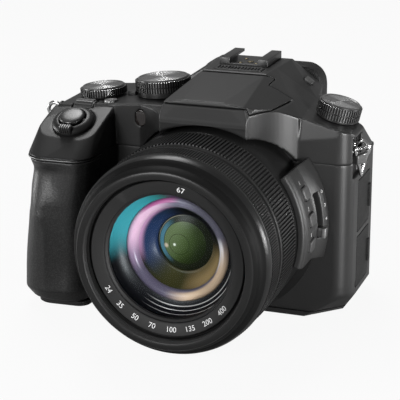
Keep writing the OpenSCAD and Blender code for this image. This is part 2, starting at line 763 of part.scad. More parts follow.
module hot_shoe() color([0.25, 0.25, 0.25]) difference() {
    box([-shoe_w / 2 - shoe_rail, shoe_w / 2 + shoe_rail], shoe_y, [shoe_z0, shoe_top]);
    box([-shoe_w / 2, shoe_w / 2], [shoe_y[0] + shoe_rail, shoe_y[1] + 1],
        [shoe_z0 + shoe_floor, shoe_top - shoe_lip]);
    box([-shoe_gap / 2, shoe_gap / 2], [shoe_y[0] - 1, shoe_y[1] + 1],
        [shoe_top - shoe_lip - 1, shoe_top + 1]);
}

module mic_grille() color([0.08, 0.08, 0.08]) difference() {
    box([-grille_half, grille_half], grille_y, [ridge_z - 2, ridge_z + 0.3]);
    for (x = [-9:1.5:9])
        box([x - 0.35, x + 0.35], [grille_y[0] + 1, grille_y[1] - 1], [ridge_z - 0.7, ridge_z + 1]);
}

module flash_lid() color([0.13, 0.13, 0.14]) difference() {
    intersection() {
        roof_front();
        flash_space(0);
    }
    flare_cuts();
    pin_space(flash_pin_r + run, 1);
}

module flash_lamp() color([0.85, 0.85, 0.8]) lamp_space(0);

module flash_pin() color([0.7, 0.7, 0.7]) pin_space(flash_pin_r, 1.8);

module flash_switch() color([0.1, 0.1, 0.1]) on_roof(switch_at)
    translate([-1.9, -3.7, -1.2]) cube([3.8, 7.4 - switch_travel, 2]);

// Controls on the top

module dial(r, h, ribs, foot) {
    difference() {
        union() {
            translate([0, 0, gap]) cylinder(r = r - 0.7, h = foot + e);
            translate([0, 0, gap + foot]) linear_extrude(h - foot) ribbed(r, 0.5, ribs);
            translate([0, 0, gap + h - e]) cylinder(r1 = r - 0.75, r2 = r - 1.2, h = 0.6);
        }
        translate([0, 0, gap + h + 0.4]) cylinder(r = r - 2, h = 1);
    }
    translate([0, 0, -stem_l]) cylinder(r = stem_r, h = stem_l + 1);
}

module mode_dial() color([0.2, 0.2, 0.2]) on_left(mode_at) dial(mode_dial_r, 7, 48, 2);

module rear_dial() color([0.2, 0.2, 0.2]) on_left(rear_dial_at) dial(rear_dial_r, 3.8, 44, 0.6);

module drive_dial() color([0.2, 0.2, 0.2]) on_right(drive_at) dial(drive_dial_r, 6.6, 40, 0.8);

module front_dial() color([0.1, 0.1, 0.1]) translate([wheel_x, wheel_y, wheel_z]) rotate([0, 90, 0]) {
    translate([0, 0, -wheel_w / 2]) linear_extrude(wheel_w) ribbed(wheel_r, 0.6, 24);
    translate([0, 0, -wheel_w / 2 - 2.5]) cylinder(r = 1.5, h = wheel_w + 5);
}

module power_switch() color([0.1, 0.1, 0.1]) on_left(power_at)
    translate([-1.9, -4.1, -1.3]) cube([3.8, 4.4, 3]);

module shutter_button() color([0.25, 0.25, 0.26]) on_shutter() {
    translate([0, 0, boss_h - 8 + shutter_travel + gap]) cylinder(r = 3, h = 8);
    translate([0, 0, boss_h + shutter_travel + 0.1]) cylinder(r = shutter_r, h = 1);
    translate([0, 0, boss_h + shutter_travel + 1.1 - e])
        cylinder(r1 = shutter_r, r2 = shutter_r - 1, h = 0.5);
}

module zoom_lever() color([0.12, 0.12, 0.12]) on_shutter() difference() {
    union() {
        translate([0, 0, gap]) cylinder(r = lever_r, h = 2.6);
        translate([-3, -lever_r + gap, gap]) cube([6, 3, 4.2]);
    }
    translate([0, 0, -1]) cylinder(r = boss_r + run, h = 8);
}

module record_button() color([0.75, 0.75, 0.75]) on_left(record_at)
    translate([0, 0, -well + button_travel + gap]) cylinder(r = record_r, h = well);

module af_lamp() color([0.5, 0.3, 0.15]) translate([lamp_at[0], -body_front, lamp_at[1]]) rotate([90, 0, 0])
    translate([0, 0, -2]) linear_extrude(2.3) lamp_outline(0);

// Viewfinder

module eyecup() color([0.06, 0.06, 0.06]) upright(hump_back, eyecup_t) difference() {
    round_rect([-evf_half - 4.6, evf_half + 4.6], [evf_z0 + 1, eyecup_top], 9);
    round_rect([-evf_open[0] / 2, evf_open[0] / 2],
        [evf_mid_z - evf_open[1] / 2, evf_mid_z + evf_open[1] / 2], 4);
}

module eyepiece_lens() color([0.3, 0.35, 0.4]) box([-evf_open[0] / 2 + e, evf_open[0] / 2 - e],
    [hump_back - 4, hump_back - 2], [evf_mid_z - evf_open[1] / 2 + e, evf_mid_z + evf_open[1] / 2 - e]);

module diopter_wheel() color([0.1, 0.1, 0.1]) translate(diopter_at) rotate([0, 90, 0]) {
    translate([0, 0, -1.2]) linear_extrude(3.6) ribbed(5, 0.4, 30);
    cylinder(r = 1.5, h = 5.5);
}

// Lens

module lens_tube() color([0.1, 0.1, 0.1]) on_axis() rotate_extrude($fn = 128) polygon([
    [tail_in, sensor_f], [tail_r, sensor_f], [tail_r, body_front - wall], [tail_r, body_front],
    [tube_r, body_front], [tube_r, zoom_f1 + gap], [land_r, zoom_f1 + gap], [land_r, focus_f0 - gap],
    [tube_r, focus_f0 - gap], [tube_r, bezel_f0], [tube_in, bezel_f0],
    [tube_in, front_lens_f], [tube_in - ledge, front_lens_f], [tube_in - ledge, front_lens_f - 2],
    [tube_in - ledge - 1, inner_lens_f], [tube_in - ledge - 5, inner_lens_f],
    [tube_in - ledge - 5, inner_lens_f - 2],
    [tail_in + ledge, iris_f], [tail_in, iris_f], [tail_in, rear_lens_f], [tail_in - ledge, rear_lens_f],
    [tail_in - ledge, rear_lens_f - 2], [tail_in, rear_lens_f - 2]]);

module lens_collar() color([0.1, 0.1, 0.1]) union() {
    on_axis() rotate_extrude($fn = 128) polygon([[tube_r, collar_f0], [collar_r, collar_f0],
        [collar_r, zoom_f0 - 2], [collar_r - 0.8, zoom_f0 - gap], [tube_r, zoom_f0 - gap]]);
    sector(collar_r - 1, flange_r, collar_f0, collar_f0 + flange_t, flange_a0, panel_a0 - 0.4);
}

// Part of a tube between two angles about the lens axis
module sector(r0, r1, f0, f1, a0, a1) on_axis() translate([0, 0, f0]) rotate([0, 0, a0])
    rotate_extrude(angle = a1 - a0, $fn = 128) translate([r0, 0]) square([r1 - r0, f1 - f0]);

module on_panel(a, f) on_axis() rotate([0, 0, a]) translate([0, 0, f]) rotate([0, 90, 0]) children();

module fn_form(c, r0, h) translate([0, 0, r0]) linear_extrude(h)
    round_rect([-fn_size[0] / 2 - c, fn_size[0] / 2 + c], [-fn_size[1] / 2 - c, fn_size[1] / 2 + c], 1.5);

module barrel_panel() color([0.14, 0.14, 0.15]) difference() {
    sector(panel_r0, panel_r1, panel_f0, panel_f1, panel_a0, panel_a1);
    for (a = fn_angles) on_panel(a, fn_f) fn_form(0.2, panel_r0 - 3, 12);
    sector(panel_r0 - 1, panel_r1 + 1, nd_f - nd_w / 2 - gap, nd_f + nd_w / 2 + gap, nd_slot[0], nd_slot[1]);
}

module fn_button(i) color([0.1, 0.1, 0.1]) on_panel(fn_angles[i], fn_f) fn_form(0, panel_r0 + 1.2, 3.2);

module fn_button_1() fn_button(0);

module fn_button_2() fn_button(1);

module fn_button_3() fn_button(2);

module nd_slider() color([0.1, 0.1, 0.1]) {
    sector(panel_r0 + gap, panel_r1 + gap + e, nd_f - nd_w / 2, nd_f + nd_w / 2, nd_slot[0] + 0.5,
        nd_slot[0] + 0.5 + nd_foot);
    sector(panel_r1 + gap, panel_r1 + 2, nd_f - nd_w / 2 - 0.6, nd_f + nd_w / 2 + 0.6, nd_slot[0] + 0.5,
        nd_slot[0] + 0.5 + nd_foot);
}

module ribbed_ring(r, f0, f1, ribs) on_axis() translate([0, 0, f0]) difference() {
    union() {
        linear_extrude(f1 - f0) ribbed(r, 0.6, ribs);
        for (z = [0, f1 - f0 - 1.2]) translate([0, 0, z]) cylinder(r = r - 0.2, h = 1.2, $fn = 128);
    }
    translate([0, 0, -1]) cylinder(r = tube_r + run, h = f1 - f0 + 2, $fn = 128);
}

module zoom_ring() color([0.09, 0.09, 0.09]) ribbed_ring(zoom_ring_r, zoom_f0, zoom_f1, zoom_ribs);

module focus_ring() color([0.09, 0.09, 0.09]) ribbed_ring(focus_ring_r, focus_f0, focus_f1, focus_ribs);

module front_bezel() color([0.1, 0.1, 0.1]) on_axis() rotate_extrude($fn = 128) polygon([
    [tube_in, bezel_f0], [rim_r - 0.6, bezel_f0], [rim_r, rim_f - 0.4], [rim_r, rim_f + 0.4],
    [rim_r - 1.6, rim_f + 4], [rim_r - 4.6, lens_front - 0.4], [rim_r - 5, lens_front],
    [filter_r, lens_front],
    [filter_r, lens_front - filter_depth], [seat_r, lens_front - filter_depth], [seat_r, seat_f],
    [seat_r - 2, seat_f], [seat_r - 2, bezel_f0 + 1.5], [tube_in, bezel_f0 + 1.5]]);

module retaining_ring() color([0.12, 0.12, 0.12]) on_axis() rotate_extrude($fn = 128) polygon([
    [seat_r - run, seat_f], [seat_r - run, seat_f + 2.4], [seat_r - 0.5, seat_f + 2.7],
    [glass_r, seat_f + 0.6], [glass_r, seat_f - 1.4], [seat_r - 3.4, seat_f - 0.6], [seat_r - 3.4, seat_f]]);

module front_lens() color([0.2, 0.3, 0.3]) on_axis() rotate_extrude($fn = 128) polygon(concat(
    [[0, front_lens_f + 5.5], [glass_r - 1.5, front_lens_f + 3.2], [tube_in - ledge - 1, front_lens_f],
        [tube_in - run, front_lens_f], [tube_in - run, front_lens_f + 3]],
    [for (i = [0:8]) let (r = (glass_r + 1) * (1 - i / 8))
        [r, seat_f - 0.2 - 3.4 * pow(r / (glass_r + 1), 2)]]));

// Second lens group: a foot on the tube's inner ledge, a rounded rim, a cone inwards and a domed glass
module inner_lens() color([0.2, 0.3, 0.3]) on_axis() rotate_extrude($fn = 128) polygon(concat(
    [[0, inner_lens_f + 0.6], [tube_in - ledge - 5, inner_lens_f], [tube_in - ledge - 1.2, inner_lens_f],
        [tube_in - ledge - 1.2, inner_lens_f + 5], [group_r, inner_lens_f + 8], [group_r, group_f]],
    [for (i = [1:5]) let (a = 30 * i)
        [(group_r + mouth_r + (group_r - mouth_r) * cos(a)) / 2, group_f + group_rise * sin(a)]],
    [[mouth_r, group_f], [deep_r, deep_f + 0.9]],
    [for (i = [0:5]) let (r = deep_r * (1 - i / 5)) [r, deep_f + deep_rise * (1 - pow(r / deep_r, 2))]]));

module iris_ring() color([0.06, 0.06, 0.06]) on_axis() translate([0, 0, iris_f]) difference() {
    cylinder(r = tail_in + ledge, h = 1.5);
    translate([0, 0, -1]) cylinder(r = 9, h = 4, $fn = 9);
}

module rear_lens() color([0.2, 0.3, 0.3]) on_axis() translate([0, 0, rear_lens_f])
    cylinder(r = tail_in - run, h = 6);

// Screen

module lcd_arm() color([0.1, 0.1, 0.1]) union() {
    translate([lcd_axis[0], lcd_axis[1], lcd_z0]) cylinder(r = lcd_lug_r - 0.2, h = lcd_h);
    translate([lcd_axis[0], lcd_axis[1], lcd_z0 - 2.5]) cylinder(r = lcd_pin_r, h = lcd_h + 5);
    box([lcd_x1, lcd_axis[0]], [lcd_axis[1] - 2.4, lcd_axis[1] + 2.4], [lcd_z0 + 14, lcd_z1 - 14]);
}

module lcd_frame() color([0.1, 0.1, 0.1]) difference() {
    upright(lcd_floor + lcd_air, lcd_t) round_rect([lcd_x1 - lcd_w, lcd_x1], [lcd_z0, lcd_z1], 3);
    box([lcd_x1 - lcd_w + bezel_w, lcd_x1 - bezel_w], [lcd_face - glass_t, lcd_face + 3],
        [lcd_z0 + bezel_w, lcd_z1 - bezel_w]);
}

module lcd_glass() color([0.05, 0.05, 0.06]) box([lcd_x1 - lcd_w + bezel_w + e, lcd_x1 - bezel_w - e],
    [lcd_face - glass_t, lcd_face], [lcd_z0 + bezel_w + e, lcd_z1 - bezel_w - e]);

// Strap lugs and rings

module lug(at, out) translate(at) {
    rotate([0, 90 * out, 0]) cylinder(r = lug_r, h = 1);
    rotate([0, 90 * out, 0]) cylinder(r = 1.3, h = eye_out - eye_r + 0.4);
    translate([out * eye_out, 0, 0]) rotate([90, 0, 0])
        rotate_extrude() translate([eye_r, 0]) circle(eye_wire);
}

module strap_lugs() color([0.8, 0.8, 0.8]) {
    lug(lug_right, 1);
    lug(lug_left, -1);
}

module rod(p, q, r) {
    d = q - p;
    translate(p) rotate([0, acos(d[2] / norm(d)), atan2(d[1], d[0])]) cylinder(r = r, h = norm(d), $fn = 24);
}

module strap_ring(at, out) color([0.8, 0.8, 0.8]) translate(at + [out * eye_out, 0, 0]) {
    a = [0, -ring_half, 0];
    b = [0, ring_half, 0];
    c = [0, 0, -ring_drop];
    for (s = [[a, b], [b, c], [c, a]]) rod(s[0], s[1], wire_r);
    for (p = [a, b, c]) translate(p) sphere(wire_r + 0.12, $fn = 24);
}

module strap_ring_left() strap_ring(lug_left, -1);

module strap_ring_right() strap_ring(lug_right, 1);

// Rear buttons

module cursor_pad() color([0.1, 0.1, 0.1]) on_rear(pad_at)
    translate([0, 0, -2.4 + button_travel + gap]) difference() {
        cylinder(r = pad_r, h = 2.4);
        translate([0, 0, -1]) cylinder(r = menu_r + gap, h = 4);
    }

module menu_button() color([0.1, 0.1, 0.1]) on_rear(pad_at)
    translate([0, 0, -2.4 + button_travel + gap]) cylinder(r = menu_r, h = 2.6);

module play_button() color([0.1, 0.1, 0.1]) on_rear(play_at)
    translate([0, 0, -2.4 + button_travel + gap]) cylinder(r = small_r, h = 2.4);

module lock_button() color([0.1, 0.1, 0.1]) on_rear(lock_at)
    translate([0, 0, -4 + button_travel + gap]) cylinder(r = stem_r - 1, h = 4.6);

module focus_lever() color([0.1, 0.1, 0.1]) on_rear(lock_at) difference() {
    union() {
        translate([0, 0, -2.1]) cylinder(r = lever_ring, h = 3);
        translate([-1.5, -lever_ring, 0.3]) cube([3, 4, 1.6]);
    }
    translate([0, 0, -3]) cylinder(r = stem_r - 1 + gap, h = 6);
}

front_shell();
rear_shell();
top_cover();
base_plate();
base_screws();
tripod_socket();
grip_rubber();
thumb_rest();
battery();
memory_card();
battery_door();
door_upper();
door_lower();
jack_block();
main_board();
image_sensor();
lens_tube();
lens_collar();
barrel_panel();
fn_button_1();
fn_button_2();
fn_button_3();
nd_slider();
zoom_ring();
focus_ring();
front_bezel();
retaining_ring();
front_lens();
inner_lens();
iris_ring();
rear_lens();
hot_shoe();
mic_grille();
flash_lid();
flash_lamp();
flash_pin();
flash_switch();
mode_dial();
rear_dial();
drive_dial();
front_dial();
power_switch();
shutter_button();
zoom_lever();
record_button();
af_lamp();
eyecup();
eyepiece_lens();
diopter_wheel();
lcd_arm();
lcd_frame();
lcd_glass();
strap_lugs();
strap_ring_left();
strap_ring_right();
cursor_pad();
menu_button();
play_button();
lock_button();
focus_lever();
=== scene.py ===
# %% [markdown]
# # A bridge camera
# The CAD model gives every piece its size and place. This lesson dresses it: it rounds the moulded
# shells, cuts ribs and threads, turns the metal dials, and gives each surface its own finish.
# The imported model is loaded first, as a fixed frame in metres.

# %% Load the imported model
import json
import math

import bpy
from mathutils import Matrix, Vector

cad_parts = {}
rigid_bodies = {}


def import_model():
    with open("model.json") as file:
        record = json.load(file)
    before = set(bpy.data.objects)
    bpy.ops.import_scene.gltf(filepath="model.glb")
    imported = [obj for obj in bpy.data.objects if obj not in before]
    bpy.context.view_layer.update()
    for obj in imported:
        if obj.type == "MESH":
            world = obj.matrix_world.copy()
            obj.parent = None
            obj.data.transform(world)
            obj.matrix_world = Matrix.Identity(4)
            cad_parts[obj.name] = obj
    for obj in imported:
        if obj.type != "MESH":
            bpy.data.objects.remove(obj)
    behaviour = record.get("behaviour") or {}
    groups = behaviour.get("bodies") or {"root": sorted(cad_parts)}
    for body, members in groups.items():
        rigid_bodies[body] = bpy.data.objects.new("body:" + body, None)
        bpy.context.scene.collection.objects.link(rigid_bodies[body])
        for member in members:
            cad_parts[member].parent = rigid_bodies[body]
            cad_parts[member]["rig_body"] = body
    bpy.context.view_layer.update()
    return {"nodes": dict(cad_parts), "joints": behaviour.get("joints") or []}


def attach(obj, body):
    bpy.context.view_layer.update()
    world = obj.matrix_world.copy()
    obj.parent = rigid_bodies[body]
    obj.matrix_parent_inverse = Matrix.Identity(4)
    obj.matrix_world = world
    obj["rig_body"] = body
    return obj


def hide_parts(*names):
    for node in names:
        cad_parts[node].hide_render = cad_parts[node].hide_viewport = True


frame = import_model()
nodes = frame["nodes"]
joints = {joint["child"]: joint for joint in frame["joints"]}
MM = 0.001
LENS_HEIGHT = 42  # of the lens axis, in mm
print("CAD nodes:", len(nodes), "joints:", len(joints))

# %% [markdown]
# ## The camera that looks at it
# The photograph was taken from a little to the right and a little above, with a long lens. The
# numbers were fitted to the lens rings and the edges of the body, so no lens shift is needed.

# %% The camera
azimuth, elevation, roll = (math.radians(v) for v in (20.01, 17.86, -0.29))
aim = Vector((-8.87, -20, 46.29)) * MM
distance = 628.17 * MM

right = Vector((math.cos(azimuth), math.sin(azimuth), 0))
back = Vector((
    math.sin(azimuth) * math.cos(elevation),
    -math.cos(azimuth) * math.cos(elevation),
    math.sin(elevation),
))
up = back.cross(right)
turned_right = right * math.cos(roll) + up * math.sin(roll)
turned_up = up * math.cos(roll) - right * math.sin(roll)

bpy.ops.object.select_all(action="DESELECT")
bpy.ops.object.camera_add()
camera = bpy.context.object
camera.matrix_world = (
    Matrix.Translation(aim + back * distance)
    @ Matrix((turned_right, turned_up, back)).transposed().to_4x4()
)
camera.data.lens, camera.data.sensor_width = 132.31, 36
camera.data.clip_start = 0.01
bpy.context.scene.camera = camera
print("camera at", [round(v, 3) for v in camera.location])

# %% [markdown]
# ## Shader sums
# A finish is a graph of nodes. To read like a recipe, each socket is wrapped so that Python's own
# signs add the Math nodes, and every other node comes from one method.


# %% The graph helper
class Signal:
    """A socket that takes part in Python sums: each sum adds a Math node."""

    def __init__(self, graph, socket):
        self.graph, self.socket = graph, socket

    def __add__(self, other):
        return self.graph.math("ADD", self, other)

    def __sub__(self, other):
        return self.graph.math("SUBTRACT", self, other)

    def __rsub__(self, other):
        return self.graph.math("SUBTRACT", other, self)

    def __mul__(self, other):
        return self.graph.math("MULTIPLY", self, other)

    def __truediv__(self, other):
        return self.graph.math("DIVIDE", self, other)

    __radd__, __rmul__ = __add__, __mul__


class Graph:
    """A node tree that is written as expressions."""

    def __init__(self, tree):
        self.tree = tree
        tree.nodes.clear()

    def node(self, kind, settings=None, values=None, out=0):
        made = self.tree.nodes.new("ShaderNode" + kind)
        for key, value in (settings or {}).items():
            if key == "stops":
                self.set_stops(made.color_ramp, value)
            else:
                setattr(made, key, value)
        for key, value in (values or {}).items():
            if isinstance(value, Signal):
                self.tree.links.new(value.socket, made.inputs[key])
            else:
                made.inputs[key].default_value = value
        return Signal(self, made.outputs[out]) if made.outputs else None

    @staticmethod
    def set_stops(ramp, stops):
        while len(ramp.elements) < len(stops):
            ramp.elements.new(1.0)
        for element, (place, shade) in zip(ramp.elements, stops):
            element.position, element.color = place, shade

    def math(self, operation, first, second=0.0):
        return self.node("Math", {"operation": operation}, {0: first, 1: second})

    def between(self, value, low, high):
        """0 below low, 1 above high and a smooth rise in between."""
        return self.node("MapRange", {"interpolation_type": "SMOOTHSTEP"},
                         {"Value": value, "From Min": low, "From Max": high})

    def mix(self, factor, first, second):
        return self.node("Mix", {"data_type": "RGBA"}, {0: factor, 6: first, 7: second}, out=2)


class Finish(Graph):
    """A material whose patterns are laid out in Object coordinates."""

    def __init__(self, name):
        self.material = bpy.data.materials.new(name)
        self.material.use_nodes = True
        super().__init__(self.material.node_tree)
        self.place = self.node("TexCoord", out="Object")

    def noise(self, size, detail=2.0, place=None):
        return self.node("TexNoise", None,
                         {"Vector": place or self.place, "Scale": 1 / size, "Detail": detail})

    def bump(self, height, depth, strength=1.0):
        return self.node("Bump", None, {"Strength": strength, "Distance": depth, "Height": height})

    def surface(self, values):
        shader = self.node("BsdfPrincipled", None, values)
        self.node("OutputMaterial", None, {"Surface": shader})
        return self.material

    def seen_from(self, place):
        """Coordinates about a piece's own axis instead of the whole camera's."""
        return self.node("Mapping", {"vector_type": "TEXTURE"}, {
            "Vector": self.place,
            "Location": place.to_translation(),
            "Rotation": place.to_euler(),
        })


def grey(level):
    return (level, level, level, 1.0)


print("graph helper ready")

# %% [markdown]
# ## Floor, light and world
# A plain studio: a pale floor and five soft lamps. One stands at the grip, one on the right draws
# the bright line along the body's edge, one lights the flat side from behind, one hangs above and
# one stands in front. The world is white where the camera looks at it, and dimmer where it lights
# the surfaces.


# %% The studio
def white_to_the_eye(graph, seen, lit, share, mirrored):
    """Mixes in the seen shader for camera and transmission rays, and some of it for glossy rays."""
    camera_ray, glossy_ray, clear_ray = (graph.node("LightPath", out=index) for index in (0, 3, 6))
    looks = graph.math("MAXIMUM", camera_ray, clear_ray) * share
    return graph.node("MixShader", None, {
        0: graph.math("MAXIMUM", looks, glossy_ray * mirrored), 1: lit, 2: seen})


world = bpy.data.worlds.new("studio")
bpy.context.scene.world = world
world.use_nodes = True
sky = Graph(world.node_tree)
sky_seen = sky.node("Background", None, {"Color": grey(1), "Strength": 1.0})
sky_lit = sky.node("Background", None, {"Color": grey(1), "Strength": 0.10})
sky.node("OutputWorld", None, {"Surface": white_to_the_eye(sky, sky_seen, sky_lit, 1.0, 0.18)})

bpy.ops.mesh.primitive_plane_add(size=6, location=(0, 0, -0.1 * MM))
floor = bpy.context.object
floor.name = "floor"
floor_finish = Finish("pale_floor")
floor_tone = floor_finish.mix(floor_finish.noise(0.4), grey(0.50), grey(0.54))
floor_lit = floor_finish.node("BsdfDiffuse", None, {"Color": floor_tone})
floor_seen = floor_finish.node("Emission", None, {"Color": grey(1), "Strength": 1.0})
floor_finish.node("OutputMaterial", None, {
    "Surface": white_to_the_eye(floor_finish, floor_seen, floor_lit, 0.92, 0.0)})
floor.data.materials.append(floor_finish.material)


def soft_lamp(name, place, size, power):
    """A square lamp that faces the camera's lens barrel."""
    bpy.ops.object.light_add(type="AREA", location=place)
    lamp = bpy.context.object
    lamp.name = name
    lamp.data.energy, lamp.data.size = power, size
    lamp.rotation_euler = (Vector((0, -0.03, 0.05)) - Vector(place)).to_track_quat("-Z", "Y").to_euler()
    return lamp


soft_lamp("lamp_grip_side", (-0.95, -0.12, 0.09), 0.36, 6.0)
soft_lamp("lamp_flat_side", (0.74, -0.64, 0.05), 0.15, 18.0)
soft_lamp("lamp_rear_side", (0.95, 0.36, 0.10), 0.25, 8.0)
soft_lamp("lamp_above", (-0.3, 0.38, 0.95), 0.45, 6.5)
soft_lamp("lamp_front", (-0.38, -1.05, 0.40), 0.40, 9.0)
bpy.context.scene.view_settings.view_transform = "Standard"
print("studio ready")

# %% [markdown]
# ## Finishes
# Nearly all of the camera is black, so the finishes differ in grain and gloss: moulded plastic with
# a fine spark texture, pebbled rubber, ribbed black rings, spun metal on the dials, and bright metal
# on the strap rings.


# %% Moulded plastic and rubber
def moulded(name, tone, rough, grain=0.28 * MM, depth=0.018 * MM, gloss=0.30):
    """Black plastic from a sparked mould, a little lighter on worn edges."""
    finish = Finish(name)
    sparks = finish.noise(grain, 3.0)
    clouds = finish.noise(22 * MM)
    edge = finish.between(finish.node("NewGeometry", out="Pointiness"), 0.53, 0.62)
    shade = finish.mix(sparks, grey(tone * 0.7), grey(tone * 1.35))
    shade = finish.mix(edge * 0.35, shade, grey(tone * 2.4))
    return finish.surface({
        "Base Color": shade,
        "Roughness": rough + (clouds - 0.5) * 0.12 + (sparks - 0.5) * 0.10,
        "Specular IOR Level": gloss,
        "Normal": finish.bump(sparks, depth, 0.9),
    })


def pebbled(name, tone, rough, pebble, depth, gloss):
    """Rubber with rounded pebbles of about half a millimetre."""
    finish = Finish(name)
    cells = finish.node("TexVoronoi", {"feature": "SMOOTH_F1"},
                        {"Vector": finish.place, "Scale": 1 / pebble, "Smoothness": 0.6})
    fine = finish.noise(0.2 * MM)
    height = 1 - cells + fine * 0.25
    shade = finish.mix(finish.between(cells, 0.15, 0.6), grey(tone * 2.2), grey(tone * 0.3))
    return finish.surface({
        "Base Color": shade,
        "Roughness": rough + (fine - 0.5) * 0.15,
        "Specular IOR Level": gloss,
        "Normal": finish.bump(height, depth, 0.8),
    })


shell_black = moulded("shell_black", 0.011, 0.40, gloss=0.31)
trim_black = moulded("trim_black", 0.009, 0.38, 0.22 * MM, 0.010 * MM)
panel_black = moulded("panel_black", 0.014, 0.46, gloss=0.36)
ring_black = moulded("ring_black", 0.010, 0.32, 0.2 * MM, 0.006 * MM)
barrel_black = moulded("barrel_black", 0.006, 0.30, 0.2 * MM, 0.006 * MM, 0.24)
face_black = moulded("face_black", 0.009, 0.50, 0.2 * MM, 0.006 * MM, 0.20)
slope_black = moulded("slope_black", 0.004, 0.50, 0.2 * MM, 0.008 * MM, 0.05)
key_black = moulded("key_black", 0.034, 0.42, 0.2 * MM, 0.006 * MM, 0.5)
deep_black = moulded("deep_black", 0.004, 0.62, 0.25 * MM, 0.010 * MM)
grip_black = pebbled("grip_black", 0.007, 0.42, 0.62 * MM, 0.085 * MM, 0.48)
soft_black = pebbled("soft_black", 0.008, 0.60, 0.5 * MM, 0.03 * MM, 0.18)
print("plastics and rubbers ready")


# %% Metals
def spun(name, tone, rough, place, ring=0.16 * MM, depth=0.02 * MM):
    """Metal turned on a lathe, with fine rings about the dial's own axis; a painted sheen makes two sectors
    lighter and the rest darker.
    """
    finish = Finish(name)
    local = finish.seen_from(place)
    rings = finish.node("TexWave", {"wave_type": "RINGS", "rings_direction": "Z"}, {
        "Vector": local, "Scale": 0.5 / ring, "Distortion": 0.4, "Detail": 1.0})
    scratches = finish.noise(1.2 * MM, 4.0, local)
    across, along = (finish.node("SeparateXYZ", None, {0: local}, out=axis) for axis in (0, 1))
    # Painted sheen: the base colour is lighter in two opposite sectors about the axis and darker between
    # them.
    slanted = (across + along * 0.45) * (across + along * 0.45)
    painted_sheen = finish.between(slanted / (across * across + along * along + 1e-9), 0.15, 1.05)
    shade = finish.mix(painted_sheen, grey(tone * 0.35), grey(tone * 1.5))
    return finish.surface({
        "Base Color": finish.mix(scratches * 0.5, shade, grey(tone)),
        "Metallic": 1.0,
        "Roughness": rough + (scratches - 0.5) * 0.12,
        "Normal": finish.bump(rings, depth, 0.8),
    })


def bright(name, tone, rough, tint=(1.0, 1.0, 1.0)):
    """Plated metal with faint handling marks."""
    finish = Finish(name)
    marks = finish.noise(0.8 * MM, 5.0)
    shades = [(*(tone * k * t for t in tint), 1.0) for k in (0.85, 1.1)]
    return finish.surface({
        "Base Color": finish.mix(marks, *shades),
        "Metallic": 1.0,
        "Roughness": rough + (marks - 0.5) * 0.10,
        "Normal": finish.bump(marks, 0.004 * MM, 0.5),
    })


chrome = bright("chrome", 0.50, 0.16)
steel = bright("steel", 0.42, 0.32)
brass = bright("brass", 0.55, 0.35, (1.0, 0.82, 0.5))
dark_metal = bright("dark_metal", 0.055, 0.32)
rib_metal = bright("rib_metal", 0.16, 0.36)
print("metals ready")

# %% [markdown]
# ## Working on pieces
# A few helpers do what a hand would do in the window: pick one piece, add a modifier and apply it,
# or copy a CAD node as a mesh that can be rounded. A moulded shell is remeshed in small voxels and
# smoothed, which rounds all its edges as a mould does. A simple block has its edges bevelled.


# %% Helpers for pieces
def alone(piece):
    bpy.ops.object.select_all(action="DESELECT")
    piece.select_set(True)
    bpy.context.view_layer.objects.active = piece


def modify(piece, kind, **settings):
    alone(piece)
    modifier = piece.modifiers.new(kind.title(), kind)
    for key, value in settings.items():
        setattr(modifier, key, value)
    bpy.ops.object.modifier_apply(modifier=modifier.name)


def editing(piece, *steps):
    """Runs edit-mode operators on the whole piece."""
    alone(piece)
    bpy.ops.object.mode_set(mode="EDIT")
    bpy.ops.mesh.select_mode(type="FACE")
    bpy.ops.mesh.select_all(action="SELECT")
    for step in steps:
        step()
    bpy.ops.object.mode_set(mode="OBJECT")


def weld():
    bpy.ops.mesh.remove_doubles(threshold=1e-6)


def outward():
    bpy.ops.mesh.normals_make_consistent(inside=False)


def merged_copy(node, name):
    piece = bpy.data.objects.new(name, nodes[node].data.copy())
    bpy.context.scene.collection.objects.link(piece)
    alone(piece)
    bpy.ops.mesh.customdata_custom_splitnormals_clear()
    editing(piece, weld)
    return piece


def put(piece, place, smooth=35):
    """Moves the mesh to its place; the object itself stays at the origin."""
    alone(piece)
    piece.matrix_world = place
    bpy.ops.object.transform_apply(location=True, rotation=True, scale=True)
    bpy.ops.object.shade_smooth_by_angle(angle=math.radians(smooth))
    return piece


def settle(piece, body, slot, finish, *stands_for):
    """Gives a finished piece its material, body and the CAD nodes that it stands for; the slot is not used.
    """
    piece.data.materials.clear()
    piece.data.materials.append(finish)
    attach(piece, body)
    if stands_for:
        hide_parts(*stands_for)
    print(piece.name, len(piece.data.polygons), "faces on", body)
    return piece


def paint(piece, finish, test):
    """Gives a second finish to the faces that pass a test."""
    piece.data.materials.append(finish)
    for face in piece.data.polygons:
        if test(face):
            face.material_index = len(piece.data.materials) - 1


def moulding(node, slot, finish, voxel=0.6, passes=6, keep=1.0, shaping=None):
    """A CAD solid as a moulding: small voxels, smoothed edges, and fewer faces where it is flat."""
    piece = merged_copy(node, "moulded_" + node)
    modify(piece, "REMESH", mode="VOXEL", voxel_size=voxel * MM)
    modify(piece, "SMOOTH", factor=0.5, iterations=passes)
    if shaping:
        shaping(piece)
    if keep < 1:
        modify(piece, "DECIMATE", ratio=keep)
    alone(piece)
    bpy.ops.object.shade_smooth()
    return settle(piece, nodes[node]["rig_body"], slot, finish, node)


def rounded(node, slot, finish, width=0.3, segments=3, limit=35):
    """A CAD solid with bevelled edges."""
    piece = merged_copy(node, "rounded_" + node)
    editing(piece, lambda: bpy.ops.mesh.dissolve_limited(angle_limit=math.radians(0.5)))
    modify(piece, "BEVEL", width=width * MM, segments=segments, limit_method="ANGLE",
           angle_limit=math.radians(limit))
    modify(piece, "TRIANGULATE")
    alone(piece)
    bpy.ops.object.shade_smooth_by_angle(angle=math.radians(40))
    return settle(piece, nodes[node]["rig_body"], slot, finish, node)


print("piece helpers ready")

